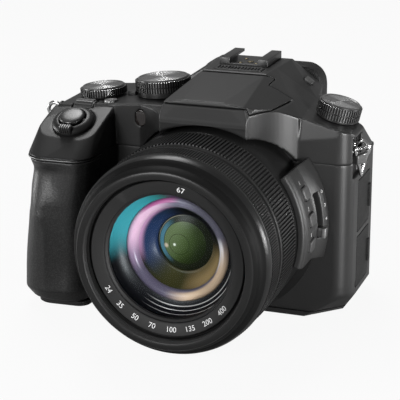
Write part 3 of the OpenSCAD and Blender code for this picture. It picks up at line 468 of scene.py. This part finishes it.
# %% [markdown]
# ## The moulded body
# Front and rear shell, top cover and flash lid are thick black mouldings whose edges are rounded by
# about half a millimetre. The grip is a thicker rubber skin, so it is smoothed much further.


# %% How some mouldings are shaped further
def rise(value, low, high):
    """0 below low, 1 above high and a smooth rise in between."""
    share = min(max((value - low) / (high - low), 0.0), 1.0)
    return share * share * (3 - 2 * share)


def press_fingers(piece):
    """Presses a hollow into the grip under the cover, and draws a ridge between palm and fingers."""
    for vertex in piece.data.vertices:
        x, y, z = vertex.co / MM
        if x < -46 and y < -8 and z < 66.8:
            waist = 2.1 * math.exp(-((z - 48) / 10) ** 2) + 0.9 * rise(z, 52, 62)
            waist -= 1.8 * (1 - rise(z, 16, 38))
            vertex.co.x += waist * rise(-y, 8, 24) * (1 - rise(x, -78, -62)) * MM
            on_front = rise(-y, 34, 44)
            from_crease = x + 68 + 7 * rise(z, 34, 52)
            depth = 3.0 if from_crease > 0 else 1.2
            ridge = depth * (1 - math.exp(-abs(from_crease) / 7)) * rise(z, 2, 22) * (1 - rise(z, 36, 62))
            hollow = 3.7 * math.exp(-((x + 68.5) / 9.5) ** 2) * rise(z, 46, 61) * (1 - rise(z, 61, 66.7))
            inward = Vector((-58 - x, -28 - y, 0)).normalized()
            vertex.co += inward * on_front * (ridge + hollow) * MM


def soften_foot(piece):
    """Rounds the front of the foot at the flat end much further than the rest."""
    foot = piece.vertex_groups.new(name="foot")
    low = [vertex.index for vertex in piece.data.vertices
           if vertex.co.x > 20 * MM and vertex.co.y < -9 * MM and vertex.co.z < 14 * MM]
    foot.add(low, 1.0, "REPLACE")
    modify(piece, "SMOOTH", factor=0.5, iterations=60, vertex_group="foot")


def shape_front(piece):
    press_fingers(piece)
    soften_foot(piece)


def on_name_plate(face):
    """The bare upright plate at the front of the hump."""
    return face.normal.y < -0.85 and face.center.y < -33 * MM and abs(face.center.x) < 26 * MM


def flare(front):
    """How far the panel's rear strip spreads towards the body, in mm."""
    return 4.4 * (max(31 - front, 0) / 9) ** 1.2


def spread(piece, amount):
    """Moves a piece away from the lens axis by an amount that goes by depth and distance, in mm."""
    for vertex in piece.data.vertices:
        x, y, z = vertex.co / MM
        distance = math.hypot(x, z - LENS_HEIGHT)
        shift = amount(-y, distance) / distance
        vertex.co += Vector((x, 0, z - LENS_HEIGHT)) * shift * MM


def step_panel(piece):
    """Spreads the panel's rear strip, where the slider runs, and rounds its front edge."""
    def amount(front, distance):
        round_edge = min(max((front - 39.9) / 3.8, 0), 1)
        step = 0.6 * (1 - rise(front, 29.7, 30.3)) + 1.8 * (1 - math.sqrt(1 - round_edge ** 2))
        return (flare(front) - step) * min((distance - 41.5) / 3.6, 1)
    spread(piece, amount)


def in_slot(face):
    """The walls of the slot that the slider runs in."""
    front = -face.center.y / MM
    distance = math.hypot(face.center.x, face.center.z - LENS_HEIGHT * MM) / MM
    return 25 < front < 28.2 and distance < 44.1 + flare(front)


print("finger hollows up to 3.7 mm deep")

# %% Shells, lid, grip and eyecup
moulding("front_shell", "shell", shell_black, 0.5, 2, 0.6, shape_front)
moulding("rear_shell", "shell", shell_black, 0.5, 2, 0.6)
cover = moulding("top_cover", "shell", shell_black, 0.42, 2, 0.45)
# Painted shade: the upright name plate gets the darker, less glossy face_black, so it reads darker than the
# shell around it.
paint(cover, face_black, on_name_plate)
moulding("flash_lid", "shell", shell_black, 0.32, 1, 0.5)
moulding("grip_rubber", "grip", grip_black, 0.5, 14, 1.0, press_fingers)
moulding("thumb_rest", "grip", grip_black, 0.35, 14)
moulding("eyecup", "grip", soft_black, 0.55, 18)
panel = moulding("barrel_panel", "shell", panel_black, 0.3, 3, 1.0, step_panel)
# Painted shade: the walls of the slider's slot get the darkest black, as shade in the slot.
paint(panel, deep_black, in_slot)
moulding("lcd_frame", "trim", trim_black, 0.4, 5)

# %% Bright line between grip and cover
bright_line = merged_copy("grip_rubber", "grip_line")
editing(
    bright_line,
    lambda: bpy.ops.mesh.bisect(plane_co=(0, 0, 66.35 * MM), plane_no=(0, 0, 1), use_fill=True,
                                clear_inner=True),
    lambda: bpy.ops.mesh.select_all(action="SELECT"),
    lambda: bpy.ops.transform.translate(value=(0, 0, 0.7 * MM)),
)
modify(bright_line, "BEVEL", width=0.12 * MM, segments=2, limit_method="ANGLE")
settle(put(bright_line, Matrix.Identity(4)), "body", "steel", rib_metal)

# %% Plates, doors and levers
rounded("base_plate", "trim", trim_black, 0.25)
rounded("battery_door", "trim", trim_black, 0.2)
rounded("door_upper", "trim", soft_black, 0.25)
rounded("door_lower", "trim", soft_black, 0.25)
rounded("hot_shoe", "trim", dark_metal, 0.15)
rounded("mic_grille", "trim", trim_black, 0.1)
rounded("flash_switch", "button", key_black, 0.25)
rounded("power_switch", "button", trim_black, 0.5)
rounded("lcd_arm", "trim", trim_black, 0.3)
for index in (1, 2, 3):
    rounded(f"fn_button_{index}", "button", key_black, 0.35)
spread(rounded("nd_slider", "button", steel, 0.25), lambda front, distance: flare(26.6))
for name in ("cursor_pad", "menu_button", "play_button", "lock_button", "focus_lever"):
    rounded(name, "button", trim_black, 0.3)

# %% [markdown]
# ## Turning on a lathe
# Rings, dials and lenses are round, so each is a profile that is drawn point by point and spun about
# its axis. Ribs come after that: every second face of the outer wall is inset and raised. The piece
# is turned at the origin, and then its mesh is moved to its place.


# %% Helpers for turned pieces
def turned(name, profile, steps):
    """Spins a profile of (radius, height) points, in mm, about the Z axis."""
    bpy.ops.object.select_all(action="DESELECT")
    bpy.ops.mesh.primitive_plane_add(size=MM)
    piece = bpy.context.object
    piece.name = name
    bpy.context.tool_settings.mesh_select_mode = (True, False, False)
    bpy.ops.object.mode_set(mode="EDIT")
    bpy.ops.mesh.select_all(action="SELECT")
    bpy.ops.mesh.merge(type="CENTER")
    corners = [Vector((radius, 0, height)) * MM for radius, height in profile]
    bpy.ops.transform.translate(value=corners[0])
    for before, after in zip(corners, corners[1:]):
        bpy.ops.mesh.extrude_region_move(TRANSFORM_OT_translate={"value": after - before})
    bpy.ops.mesh.select_all(action="SELECT")
    bpy.ops.mesh.spin(steps=steps, angle=2 * math.pi, center=(0, 0, 0), axis=(0, 0, 1))
    bpy.ops.mesh.select_all(action="SELECT")
    weld()
    outward()
    bpy.ops.object.mode_set(mode="OBJECT")
    return piece


def raise_ribs(piece, radius, low, high, count, side, lift):
    """Insets and raises every second outer face between two heights."""
    mesh = piece.data
    for item in (*mesh.vertices, *mesh.edges, *mesh.polygons):
        item.select = False
    for face in mesh.polygons:
        x, y, z = face.center / MM
        if math.hypot(x, y) > radius and low < z < high:
            turn = math.atan2(y, x) % (2 * math.pi)
            face.select = int(turn * count / math.pi) % 2 == 0
    bpy.context.tool_settings.mesh_select_mode = (False, False, True)
    alone(piece)
    bpy.ops.object.mode_set(mode="EDIT")
    bpy.ops.mesh.inset(thickness=side * MM, depth=lift * MM, use_individual=True)
    bpy.ops.object.mode_set(mode="OBJECT")


def from_axis(face):
    """Distance of a face from the lens axis, in mm."""
    return math.hypot(face.center.x, face.center.z - LENS.to_translation().z) / MM


def stand(body):
    """The axis that a body turns about, as a place whose Z runs along it."""
    axis = Vector(joints[body]["axis"])
    return Matrix.Translation(joints[body]["pos_m"]) @ axis.to_track_quat("Z", "Y").to_matrix().to_4x4()


LENS = Matrix.Translation((0, 0, LENS_HEIGHT * MM)) @ Matrix.Rotation(math.radians(90), 4, "X")
print("lens axis at height", LENS.to_translation().z)

# %% [markdown]
# ## The lens rings
# The wide ring zooms and the narrow one focuses. Both have straight ribs along the lens, coarse on the
# wide ring and fine on the narrow one, between two smooth lips.

# %% Zoom and focus ring
zoom_ring = turned("ribbed_zoom_ring", [
    (38.6, 45.3), (40.9, 45.3), (41.2, 45.6), (41.2, 46.2), (40.95, 46.5), (40.95, 63.3), (41.2, 63.6),
    (41.2, 64.2), (40.9, 64.5), (38.6, 64.5), (38.6, 45.3)], 344)
raise_ribs(zoom_ring, 40.8, 50, 60, 172, 0.12, 0.7)
settle(put(zoom_ring, LENS), "zoom_ring", "ring", ring_black, "zoom_ring")

focus_ring = turned("ribbed_focus_ring", [
    (38.6, 67), (40.7, 67), (40.95, 67.25), (40.95, 67.7), (40.75, 67.9), (40.75, 76.1), (40.95, 76.3),
    (40.95, 76.75), (40.7, 77), (38.6, 77), (38.6, 67)], 480)
raise_ribs(focus_ring, 40.6, 70, 74, 240, 0.08, 0.55)
settle(put(focus_ring, LENS), "focus_ring", "ring", ring_black, "focus_ring")

# %% [markdown]
# ## The front of the lens
# The bezel swells to a rounded rim, slopes in to the front edge and carries the filter thread inside.
# A flat cone, the retaining ring, holds the front element.

# %% Bezel and retaining ring
THREAD_FRONT, THREAD_PITCH = 86.5, 0.55
thread = [(radius, THREAD_FRONT - THREAD_PITCH * turn - drop)
          for turn in range(4) for radius, drop in ((33.35, 0), (33.75, 0.2), (33.75, 0.3), (33.35, 0.5))]
bezel = turned("turned_bezel", [
    (34, 77.3), (40.4, 77.3), (40.85, 77.5), (41.05, 77.9), (40.95, 78.8), (40.6, 79.9), (40.1, 81),
    (39.45, 82), (38.8, 82.7), (38.3, 83.05), (38.05, 83.2), (37.95, 83.6), (37.8, 84.2), (37.5, 85.1),
    (36.6, 86.4), (36.3, 86.8), (35.8, 87), (34.3, 87), (33.7, 86.8), *thread, (33.5, 84), (32.9, 84),
    (32.9, 81), (30.9, 81), (30.9, 78.8), (34, 78.8), (34, 77.3)], 160)
settle(put(bezel, LENS, 22), "body", "trim", barrel_black, "front_bezel")
paint(bezel, slope_black, lambda face: -86.5 * MM < face.center.y < -81.2 * MM and face.normal.y > -0.9)
# Painted shade: the filter thread wall inside the bezel gets the darkest black, where the recess falls into
# shade.
paint(bezel, deep_black, lambda face: from_axis(face) < 33.95)

retainer = turned("turned_retaining_ring", [
    (32.85, 81), (32.85, 81.6), (31.9, 81.7), (31.8, 83.1), (31.5, 83.3), (31.2, 83.25), (27.2, 82.1),
    (26.8, 81.9), (26.5, 81.2), (25.7, 80.6), (25.5, 79.6), (29.5, 80.4), (29.5, 81), (32.85, 81)], 160)
settle(put(retainer, LENS, 22), "body", "trim", face_black, "retaining_ring")
# Painted shade: the groove at the outer edge and the inner wall of the retaining ring get the darkest black,
# as shade in these recesses.
paint(retainer, deep_black, lambda face: from_axis(face) < 27.05 or from_axis(face) > 31.6)

# %% [markdown]
# ## The glass
# What is seen in a lens is coated glass behind coated glass: a clear dome in front, dark stepped walls
# behind it, and surfaces whose coatings reflect teal, lilac, green and amber. The walls and coated
# surfaces are turned, and these coloured reflections, with glints and light arcs, are painted into their
# colour by the direction from the lens axis: painted reflections and painted highlights.


# %% Coatings and their painted reflections
class PaintedReflections(Finish):
    """Coated optics whose reflections are painted about the lens axis: tints of painted reflection go by
    direction, distance and depth in mm.
    """

    def __init__(self, name, base):
        super().__init__(name)
        local = self.seen_from(LENS)
        self.across, self.upward, self.depth = (
            self.node("SeparateXYZ", None, {0: local}, out=axis) / MM for axis in (0, 1, 2))
        self.radius = self.from_spot(0, 0)
        darker = (0.6 * part for part in base)
        self.shade = self.mix(self.noise(3 * MM, 2.0, local), (*base, 1.0), (*darker, 1.0))

    def from_spot(self, x, y):
        """Distance from a line along the lens."""
        aside, above = self.across - x, self.upward - y
        return self.math("SQRT", aside * aside + above * above) + 0.001

    def run(self, direction):
        """Distance from the axis towards a direction, in degrees from the right."""
        turn = math.radians(direction)
        return self.across * math.cos(turn) + self.upward * math.sin(turn)

    def toward(self, direction, near, full=1.0):
        return self.between(self.run(direction) / self.radius, near, full)

    def within(self, value, low, high, soft):
        return self.between(value, low - soft, low) * (1 - self.between(value, high, high + soft))

    def tint(self, share, *colour):
        self.shade = self.mix(share, self.shade, (*colour, 1.0))

    def done(self, rough, gloss):
        return self.surface({
            "Base Color": self.shade,
            "Roughness": rough + (self.noise(1.5 * MM) - 0.5) * 0.1,
            "Specular IOR Level": gloss,
        })


def clear_glass(name, gloss, index):
    """Glass that lets the view through and mirrors more at a slant."""
    finish = Finish(name)
    smears = finish.noise(9 * MM, 3.0)
    mirror = finish.node("BsdfGlossy", None, {"Color": gloss, "Roughness": smears * 0.04 + 0.01})
    clear = finish.node("BsdfTransparent", None, {"Color": (0.95, 0.97, 0.98, 1.0)})
    outside = 1 - finish.node("NewGeometry", out="Backfacing")
    slant = finish.node("Fresnel", None, {"IOR": index}) * outside
    finish.node("OutputMaterial", None, {
        "Surface": finish.node("MixShader", None, {0: slant, 1: clear, 2: mirror})})
    return finish.material


wall = PaintedReflections("wall_painted_reflections", (0.002, 0.002, 0.003))
# Painted reflections of the coatings on the wall: magenta, violet and teal towards the upper left.
wall.tint(wall.toward(104, 0.85), 0.05, 0.025, 0.05)
wall.tint(wall.toward(124, 0.85), 0.01, 0.08, 0.05)
wall.tint(wall.toward(147, 0.66), 0.03, 0.22, 0.25)
# A painted highlight: a cream line on one ledge, and below, three painted light arcs on the lower right.
wall.tint(wall.toward(128, 0.85) * wall.within(wall.depth, 76.2, 76.4, 0.1), 0.5, 0.42, 0.28)
for height, light in ((75.0, 0.5), (73.3, 0.75), (72.0, 0.6)):
    arc = wall.toward(-62, 0.45) * wall.within(wall.depth, height, height + 0.12, 0.1)
    wall.tint(arc, light, light * 0.94, light * 0.9)
wall_painted_reflections = wall.done(0.40, 0.2)

rim = PaintedReflections("rim_painted_reflections", (0.15, 0.135, 0.18))
# Painted reflections on the rim of the second element: lilac and pink to the upper left, darker to the lower
# left.
rim.tint(rim.toward(-145, 0.2), 0.06, 0.05, 0.075)
rim.tint(rim.toward(50, 0.4), 0.11, 0.10, 0.13)
rim.tint(rim.toward(170, 0.7), 0.20, 0.13, 0.20)
rim.tint(rim.toward(142, 0.62), 0.52, 0.32, 0.42)
rim.tint(rim.toward(113, 0.88) * rim.within(rim.radius, 20.3, 23, 0.7), 0.34, 0.08, 0.21)
# A painted highlight: a narrow white line on the right; below it a painted amber reflection to the lower
# right.
rim.tint(rim.toward(-2, 0.90) * rim.within(rim.radius, 18.0, 19.4, 0.8), 0.90, 0.86, 0.90)
rim.tint(rim.toward(-42, 0.4) * rim.within(rim.radius, 18.5, 22, 1.0), 0.60, 0.42, 0.28)
rim_painted_reflections = rim.done(0.30, 0.2)

funnel = PaintedReflections("cavity_painted_reflections", (0.003, 0.003, 0.004))
# Painted reflections on the inner baffle: navy to the left, lilac to the upper left, an olive tone below and
# amber to the lower right.
funnel.tint(funnel.toward(172, 0.1) * funnel.within(funnel.depth, 63, 66, 3), 0.009, 0.020, 0.055)
funnel.tint(funnel.toward(145, 0.4) * funnel.within(funnel.depth, 68.5, 80, 3), 0.40, 0.21, 0.34)
funnel.tint(funnel.toward(-70, -0.2), 0.030, 0.028, 0.008)
funnel.tint(funnel.toward(-42, 0.62) * funnel.within(funnel.depth, 66, 80, 6), 0.34, 0.23, 0.10)
cavity_painted_reflections = funnel.done(0.40, 0.15)

deep = PaintedReflections("deep_painted_reflections", (0.014, 0.017, 0.008))
# Painted reflections on the third element: a green disc, lighter to the upper left and darker to the lower
# right, with a thin dark ring.
green_disc = deep.within(deep.radius, -1, 8.8, 0.2)
deep.tint(green_disc, 0.030, 0.048, 0.012)
deep.tint(green_disc * deep.between(deep.run(150), -3, 8), 0.085, 0.115, 0.05)
deep.tint(green_disc * deep.between(deep.run(-50), 1, 8), 0.012, 0.020, 0.004)
deep.tint(deep.within(deep.from_spot(-2.2, -0.6), 4.3, 4.4, 0.1), 0.010, 0.015, 0.005)
# A painted teal arc to the left and a painted pale line to the upper left near the rim.
deep.tint(deep.toward(178, 0.4) * deep.within(deep.radius, 9.3, 10.8, 0.3), 0.05, 0.14, 0.18)
deep.tint(deep.toward(140, 0.5) * deep.within(deep.radius, 11.3, 11.4, 0.15), 0.22, 0.20, 0.15)
# Two painted glints: small pale spots left of the centre.
deep.tint(1 - deep.between(deep.from_spot(-8.0, -1.8), 0.2, 1.4), 0.45, 0.36, 0.27)
deep.tint(1 - deep.between(deep.from_spot(-4.2, -0.9), 0.1, 0.9), 0.60, 0.62, 0.52)
deep_painted_reflections = deep.done(0.30, 0.1)
lens_glass = clear_glass("lens_glass", (0.45, 0.50, 0.60, 1.0), 1.18)
print("coatings ready")

# %% Front element and what lies behind it
crown = [(26.3 * step / 10, 80.8 - 3.4 * (26.3 * step / 10 / 26.5) ** 2) for step in range(11)]
front_glass = turned("front_glass", crown + [(radius, height - 1.2) for radius, height in crown[::-1]], 96)
settle(put(front_glass, LENS), "body", "glass", lens_glass, "front_lens")

baffle = turned("lens_baffle", [
    (26.4, 77), (26.1, 75.6), (25.3, 74), (24, 72.5), (22.3, 71.3), (21.6, 71), (21.6, 70),
    (31, 70), (31, 70.8), (27.5, 71.2), (27.5, 77), (26.4, 77)], 96)
settle(put(baffle, LENS, 40), "body", "trim", wall_painted_reflections)

group_rim = turned("second_element_rim", [
    (21.7, 70.4), (21.4, 71.3), (20.6, 71.9), (19.5, 72), (18.4, 71.4), (17.6, 70.4), (17.3, 69.6),
    (17.3, 69), (21.7, 69), (21.7, 70.4)], 96)
settle(put(group_rim, LENS), "body", "glass", rim_painted_reflections, "inner_lens")

cavity = turned("inner_baffle", [
    (17.5, 69.6), (17.1, 68.3), (16.4, 66.8), (15.4, 65.2), (14.2, 63.6), (13, 62.5), (12.6, 62.2),
    (11.9, 62.1), (11.9, 60.5), (18.5, 60.5), (18.5, 69.4), (17.5, 69.6)], 96)
settle(put(cavity, LENS, 40), "body", "trim", cavity_painted_reflections)

dome = [(12 * step / 8, 63.3 - 2.3 * (step / 8) ** 2) for step in range(9)]
deep_glass = turned("third_element", dome + [(12, 60), (0, 60)], 96)
settle(put(deep_glass, LENS), "body", "glass", deep_painted_reflections)

# %% [markdown]
# ## Dials and wheels
# The metal dials are turned too: a plain foot, knurled rows, a chamfer and a flat top with fine lathe
# rings and a painted sheen in two bright sectors.


# %% Knurled dials
def dial(body, radius, foot, rows, top, count):
    """A dial with knurled rows between a plain foot and a spun top."""
    profile = [(0, 0.3), (radius - 0.7, 0.3), (radius - 0.7, foot)]
    for low, high in rows:
        profile += [(radius - 0.75, low), (radius - 0.4, low), (radius - 0.4, high), (radius - 0.75, high)]
    profile += [(radius - 0.8, top - 0.45), (radius - 1.2, top), (radius - 1.9, top),
                (radius - 2.1, top - 0.15), (0, top - 0.15)]
    piece = turned("turned_" + body, profile, 2 * count)
    for low, high in rows:
        middle = (low + high) / 2
        raise_ribs(piece, radius - 0.5, middle - 0.1, middle + 0.1, count, 0.08, 0.5)
    place = stand(body)
    settle(put(piece, place), body, "dial", ring_black, body)
    axis, start = Vector(joints[body]["axis"]), place.to_translation()
    paint(piece, rib_metal, lambda face: (face.center - start).cross(axis).length > (radius - 0.05) * MM)
    paint(piece, rib_metal, lambda face: 0.3 < face.normal.dot(axis) < 0.97)
    # The flat top gets spun metal with a painted sheen in two sectors.
    paint(piece, spun("spun_" + body, 0.60, 0.22, place), lambda face: face.normal.dot(axis) > 0.98)
    return piece


dial("mode_dial", 12, 2.3, [(2.5, 4.7), (5.0, 7.2)], 7.9, 64)
dial("rear_dial", 10.2, 0.9, [(0.9, 3.9)], 4.7, 56)
dial("drive_dial", 9.2, 1.1, [(1.1, 3.6), (3.9, 6.6)], 7.5, 50)

# %% Front wheel
front_wheel = turned("turned_front_dial", [
    (0, -4.7), (4.0, -4.7), (4.4, -4.4), (4.5, -4), (4.5, 4), (4.4, 4.4), (4.0, 4.7), (0, 4.7)], 40)
raise_ribs(front_wheel, 4.3, -1, 1, 20, 0.12, 0.7)
settle(put(front_wheel, stand("front_dial")), "front_dial", "ring", key_black, "front_dial")

# %% [markdown]
# ## Release and small buttons
# The release button is a low dome in a rounded collar, whose ribbed tab is the zoom lever. The small
# record button behind it is dished.

# %% Shutter button, zoom lever and record button
RELEASE = Matrix.Translation(Vector((-61, -33, 79.1)) * MM) @ Matrix.Rotation(math.radians(24), 4, "X")


def block(name, low, high, bevel=0.25):
    """A bevelled block between two corners, in mm."""
    bpy.ops.object.select_all(action="DESELECT")
    bpy.ops.mesh.primitive_cube_add(size=1)
    piece = bpy.context.object
    piece.name = name
    low, high = Vector(low) * MM, Vector(high) * MM
    put(piece, Matrix.Translation((low + high) / 2) @ Matrix.Diagonal((*(high - low), 1)))
    modify(piece, "BEVEL", width=bevel * MM, segments=3, limit_method="NONE")
    return piece


def joined(first, *others):
    alone(first)
    for other in others:
        other.select_set(True)
    bpy.ops.object.join()
    return first


release = turned("turned_shutter_button", [
    (0, -4), (2.9, -4), (2.9, 2.7), (5.2, 2.7), (5.4, 2.9), (5.4, 3.5), (5.3, 4), (5, 4.35), (4.4, 4.6),
    (3, 4.8), (1.5, 4.88), (0, 4.9)], 72)
settle(put(release, RELEASE), "shutter_button", "dial", dark_metal, "shutter_button")
paint(release, bright("shutter_metal", 0.085, 0.38), lambda face: face.normal.z > 0.5)

collar = turned("turned_zoom_lever", [
    (5.9, 0.3), (9, 0.3), (9.1, 0.5), (9.1, 1), (8.9, 1.6), (8.3, 2.3), (7.4, 2.8), (6.5, 3), (6.1, 2.95),
    (5.9, 2.8), (5.9, 0.3)], 72)
tab = block("lever_tab", (-3, -8.9, 0.3), (3, -6, 4.4), 0.8)
bars = [block("lever_bar", (step - 0.28, -9.1, 1.2), (step + 0.28, -6.6, 4.6), 0.2)
        for step in (-2, -1, 0, 1, 2)]
settle(put(joined(collar, tab), RELEASE), "zoom_lever", "trim", trim_black, "zoom_lever")
settle(put(joined(*bars), RELEASE), "zoom_lever", "trim", rib_metal)

RECORD = Matrix.Translation(Vector((-50.5, -17, 85.62)) * MM) @ Matrix.Rotation(math.radians(-4.5), 4, "Y")
record = turned("turned_record_button", [
    (0, -2), (2.8, -2), (2.85, 0.5), (2.7, 0.8), (2.3, 0.9), (1.9, 0.8), (0, 0.7)], 48)
# The record button's spun top carries a painted sheen in two sectors.
spun_record = spun("spun_record", 0.24, 0.35, RECORD)
settle(put(record, RECORD), "record_button", "silver", spun_record, "record_button")

# %% [markdown]
# ## Strap rings, base and shoe
# Bright wire rings hang in the eyes, each with a small black guard. The base has a brass tripod thread
# and four screws with a cross in the head. The shoe has its contacts.

# %% Lugs, rings and guards
def about_eye(place, turn):
    """Turns a ring and its guard about the upright through the eye."""
    eye = Matrix.Translation(Vector(place) * MM)
    return eye @ Matrix.Rotation(math.radians(turn), 4, "Z") @ eye.inverted()


def drawn_out(place, turn):
    """A shaping that draws a ring out downwards from its eye and turns it."""
    def shaping(piece):
        for vertex in piece.data.vertices:
            vertex.co.z -= 0.4 * max(place[2] * MM - vertex.co.z, 0)
        piece.data.transform(about_eye(place, turn))
    return shaping


lugs = moulding("strap_lugs", "chrome", chrome, 0.22, 3)
paint(lugs, trim_black, lambda face: -78.9 * MM < face.center.x < 56.2 * MM)
for side, place, turn in (("right", (59, -11, 73.3), -32), ("left", (-81.5, -8, 77.5), 15)):
    x, y, z = place
    moulding("strap_ring_" + side, "chrome", chrome, 0.2, 3, 1.0, drawn_out(place, turn))
    guard = block("guard_" + side, (x - 1.7, y - 3.6, z - 6.6), (x + 1.5, y + 1.8, z - 2.4), 0.6)
    settle(put(guard, about_eye(place, turn)), "strap_ring_" + side, "grip", key_black)

# %% Tripod thread and base screws
TRIPOD_PITCH = 1.27
turns = [(radius, 5.0 - TRIPOD_PITCH * turn - drop)
         for turn in range(4) for radius, drop in ((2.85, 0), (3.17, 0.5), (3.17, 0.7), (2.85, 1.15))]
tripod = turned("threaded_tripod_socket", [
    (0, 5.5), (3.1, 5.5), *[point for point in turns if point[1] > 0.35], (3.4, 0.1), (3.6, 0), (5.9, 0),
    (6.15, 0.25), (6.15, 2), (8.1, 2), (8.1, 7.5), (0, 7.5)], 64)
settle(put(tripod, Matrix.Identity(4)), "body", "brass", brass, "tripod_socket")

screw = turned("cross_screw", [
    (0, 0.2), (1.5, 0.22), (1.85, 0.35), (2, 0.6), (2, 1), (0.95, 1), (0.95, 5.5), (0, 5.5)], 32)
for turn in (0, 90):
    slot = block("cross_slot", (-1.1, -0.22, -0.2), (1.1, 0.22, 0.75), 0.05)
    put(slot, Matrix.Rotation(math.radians(turn), 4, "Z"))
    modify(screw, "BOOLEAN", operation="DIFFERENCE", object=slot, solver="EXACT")
    bpy.data.objects.remove(slot)
screws = []
for x in (-36, 40):
    for y in (-17.5, 11.5):
        one = bpy.data.objects.new("base_screw", screw.data.copy())
        bpy.context.scene.collection.objects.link(one)
        screws.append(put(one, Matrix.Translation(Vector((x, y, 0)) * MM)))
bpy.data.objects.remove(screw)
settle(joined(*screws), "body", "steel", steel, "base_screws")

# %% Contacts in the shoe
contacts = []
for x, y, radius in ((0, 22, 1.5), (-3.6, 27, 0.9), (3.6, 27, 0.9), (-3.6, 18.5, 0.9), (3.6, 18.5, 0.9)):
    contact = turned("shoe_contact", [
        (0, 98.4), (radius, 98.4), (radius, 98.6), (radius * 0.8, 98.7), (0, 98.72)], 24)
    contacts.append(put(contact, Matrix.Translation(Vector((x, y, 0)) * MM)))
settle(joined(*contacts), "body", "brass", bright("contact_brass", 0.12, 0.35, (1.0, 0.82, 0.5)))

# %% [markdown]
# ## Plain numbers
# The marks on this camera are kept generic: plain numbers on the lens face, beside the barrel
# buttons and along the slider. They are text made into thin meshes.

# %% Marks
mark_white = moulded("mark_white", 0.30, 0.5, 0.1 * MM, 0.002 * MM)


def number(text, size, place):
    bpy.ops.object.select_all(action="DESELECT")
    bpy.ops.object.text_add()
    piece = bpy.context.object
    piece.data.body, piece.data.size = text, size * MM
    piece.data.align_x, piece.data.align_y = "CENTER", "CENTER"
    piece.data.extrude = 0.02 * MM
    bpy.ops.object.convert(target="MESH")
    return put(piece, place)


def on_lens(turn, radius, front, tilt=0.0):
    """A place on the lens, at an angle from the right, whose text reads from the front."""
    return (LENS @ Matrix.Rotation(math.radians(turn - 90), 4, "Z")
            @ Matrix.Translation(Vector((0, radius, front)) * MM)
            @ Matrix.Rotation(math.radians(tilt), 4, "X"))


def on_panel(turn, radius, front, slope=0):
    """A place on the barrel panel, whose text reads from the right."""
    return (LENS @ Matrix.Rotation(math.radians(turn), 4, "Z")
            @ Matrix.Translation(Vector((radius, 0, front)) * MM)
            @ Matrix.Rotation(math.radians(90 - slope), 4, "Y"))


CONE = math.degrees(math.atan2(1.15, 4))
face_numbers = [number("67", 3.4, on_lens(78, 29.3, 82.72, CONE))]
face_numbers += [number(text, 3.0, on_lens(turn, 29.3, 82.72, CONE) @ Matrix.Rotation(math.pi, 4, "Z"))
                 for text, turn in (("24", 212), ("35", 227), ("50", 242), ("70", 257), ("100", 273),
                                    ("135", 289), ("200", 305), ("400", 321))]
face_numbers[0].name = "face_numbers"
settle(joined(*face_numbers), "body", "silver", mark_white)

panel_numbers = [number(text, 2.2, on_panel(turn, 45.13, 36.2))
                 for text, turn in (("1", 28.2), ("2", 13.8), ("3", -0.2))]
panel_numbers += [number(text, 2.0, on_panel(turn, 44.56 + flare(23.6), 23.6, 29))
                  for text, turn in (("0", 18), ("2", 11), ("4", 4), ("6", -3))]
panel_numbers[0].name = "panel_numbers"
settle(joined(*panel_numbers), "body", "silver", mark_white)

# %% [markdown]
# ## Glass, screen and what is inside
# The remaining solids keep their CAD shape and get a finish of their own: coated glass, the dark
# screen, the focus lamp, and the parts inside the body.


# %% Finishes for the solids that stay
def gloss_dark(name, tone, tint=(1.0, 1.0, 1.0)):
    """Dark glossy glass or screen with faint smears."""
    finish = Finish(name)
    smears = finish.noise(6 * MM, 4.0)
    shades = [(*(tone * k * t for t in tint), 1.0) for k in (0.7, 1.3)]
    return finish.surface({
        "Base Color": finish.mix(smears, *shades),
        "Roughness": smears * 0.10 + 0.04,
        "Specular IOR Level": 0.5,
    })


def printed(name, first, second, cell):
    """A board or label with small square fields of two tones."""
    finish = Finish(name)
    fields = finish.node("TexVoronoi", {"distance": "CHEBYCHEV"}, {"Vector": finish.place, "Scale": 1 / cell})
    return finish.surface({
        "Base Color": finish.mix(finish.between(fields, 0.25, 0.35), first, second),
        "Roughness": fields * 0.2 + 0.35,
        "Normal": finish.bump(fields, 0.05 * MM, 0.4),
    })


screen_dark = gloss_dark("screen_dark", 0.006)
lamp_dark = gloss_dark("lamp_dark", 0.02, (1.0, 0.8, 0.75))
glass_dark = gloss_dark("glass_dark", 0.012, (0.7, 0.85, 1.0))
sensor_sheen = gloss_dark("sensor_sheen", 0.05, (0.5, 0.8, 1.0))
diffuser_clear = printed("diffuser_clear", grey(0.55), grey(0.62), 0.8 * MM)
board_green = printed("board_green", (0.01, 0.09, 0.04, 1.0), (0.02, 0.16, 0.07, 1.0), 2.4 * MM)
cell_grey = printed("cell_grey", grey(0.05), grey(0.07), 9 * MM)
card_blue = printed("card_blue", (0.02, 0.03, 0.10, 1.0), (0.02, 0.04, 0.14, 1.0), 7 * MM)
for name, finish in {
    "lens_tube": barrel_black, "iris_ring": deep_black, "jack_block": deep_black, "flash_pin": steel,
    "rear_lens": glass_dark, "image_sensor": sensor_sheen, "main_board": board_green,
    "battery": cell_grey, "memory_card": card_blue,
}.items():
    nodes[name].material_slots[0].material = finish
    print(name, "keeps its CAD shape, finish", finish.name)

rounded("lens_collar", "shell", barrel_black, 0.3)
rounded("eyepiece_lens", "glass", glass_dark, 0.4)
rounded("lcd_glass", "screen", screen_dark, 0.2)
rounded("af_lamp", "lamp", lamp_dark, 0.4)
rounded("flash_lamp", "diffuser", diffuser_clear, 0.3)
rounded("diopter_wheel", "trim", trim_black, 0.12)
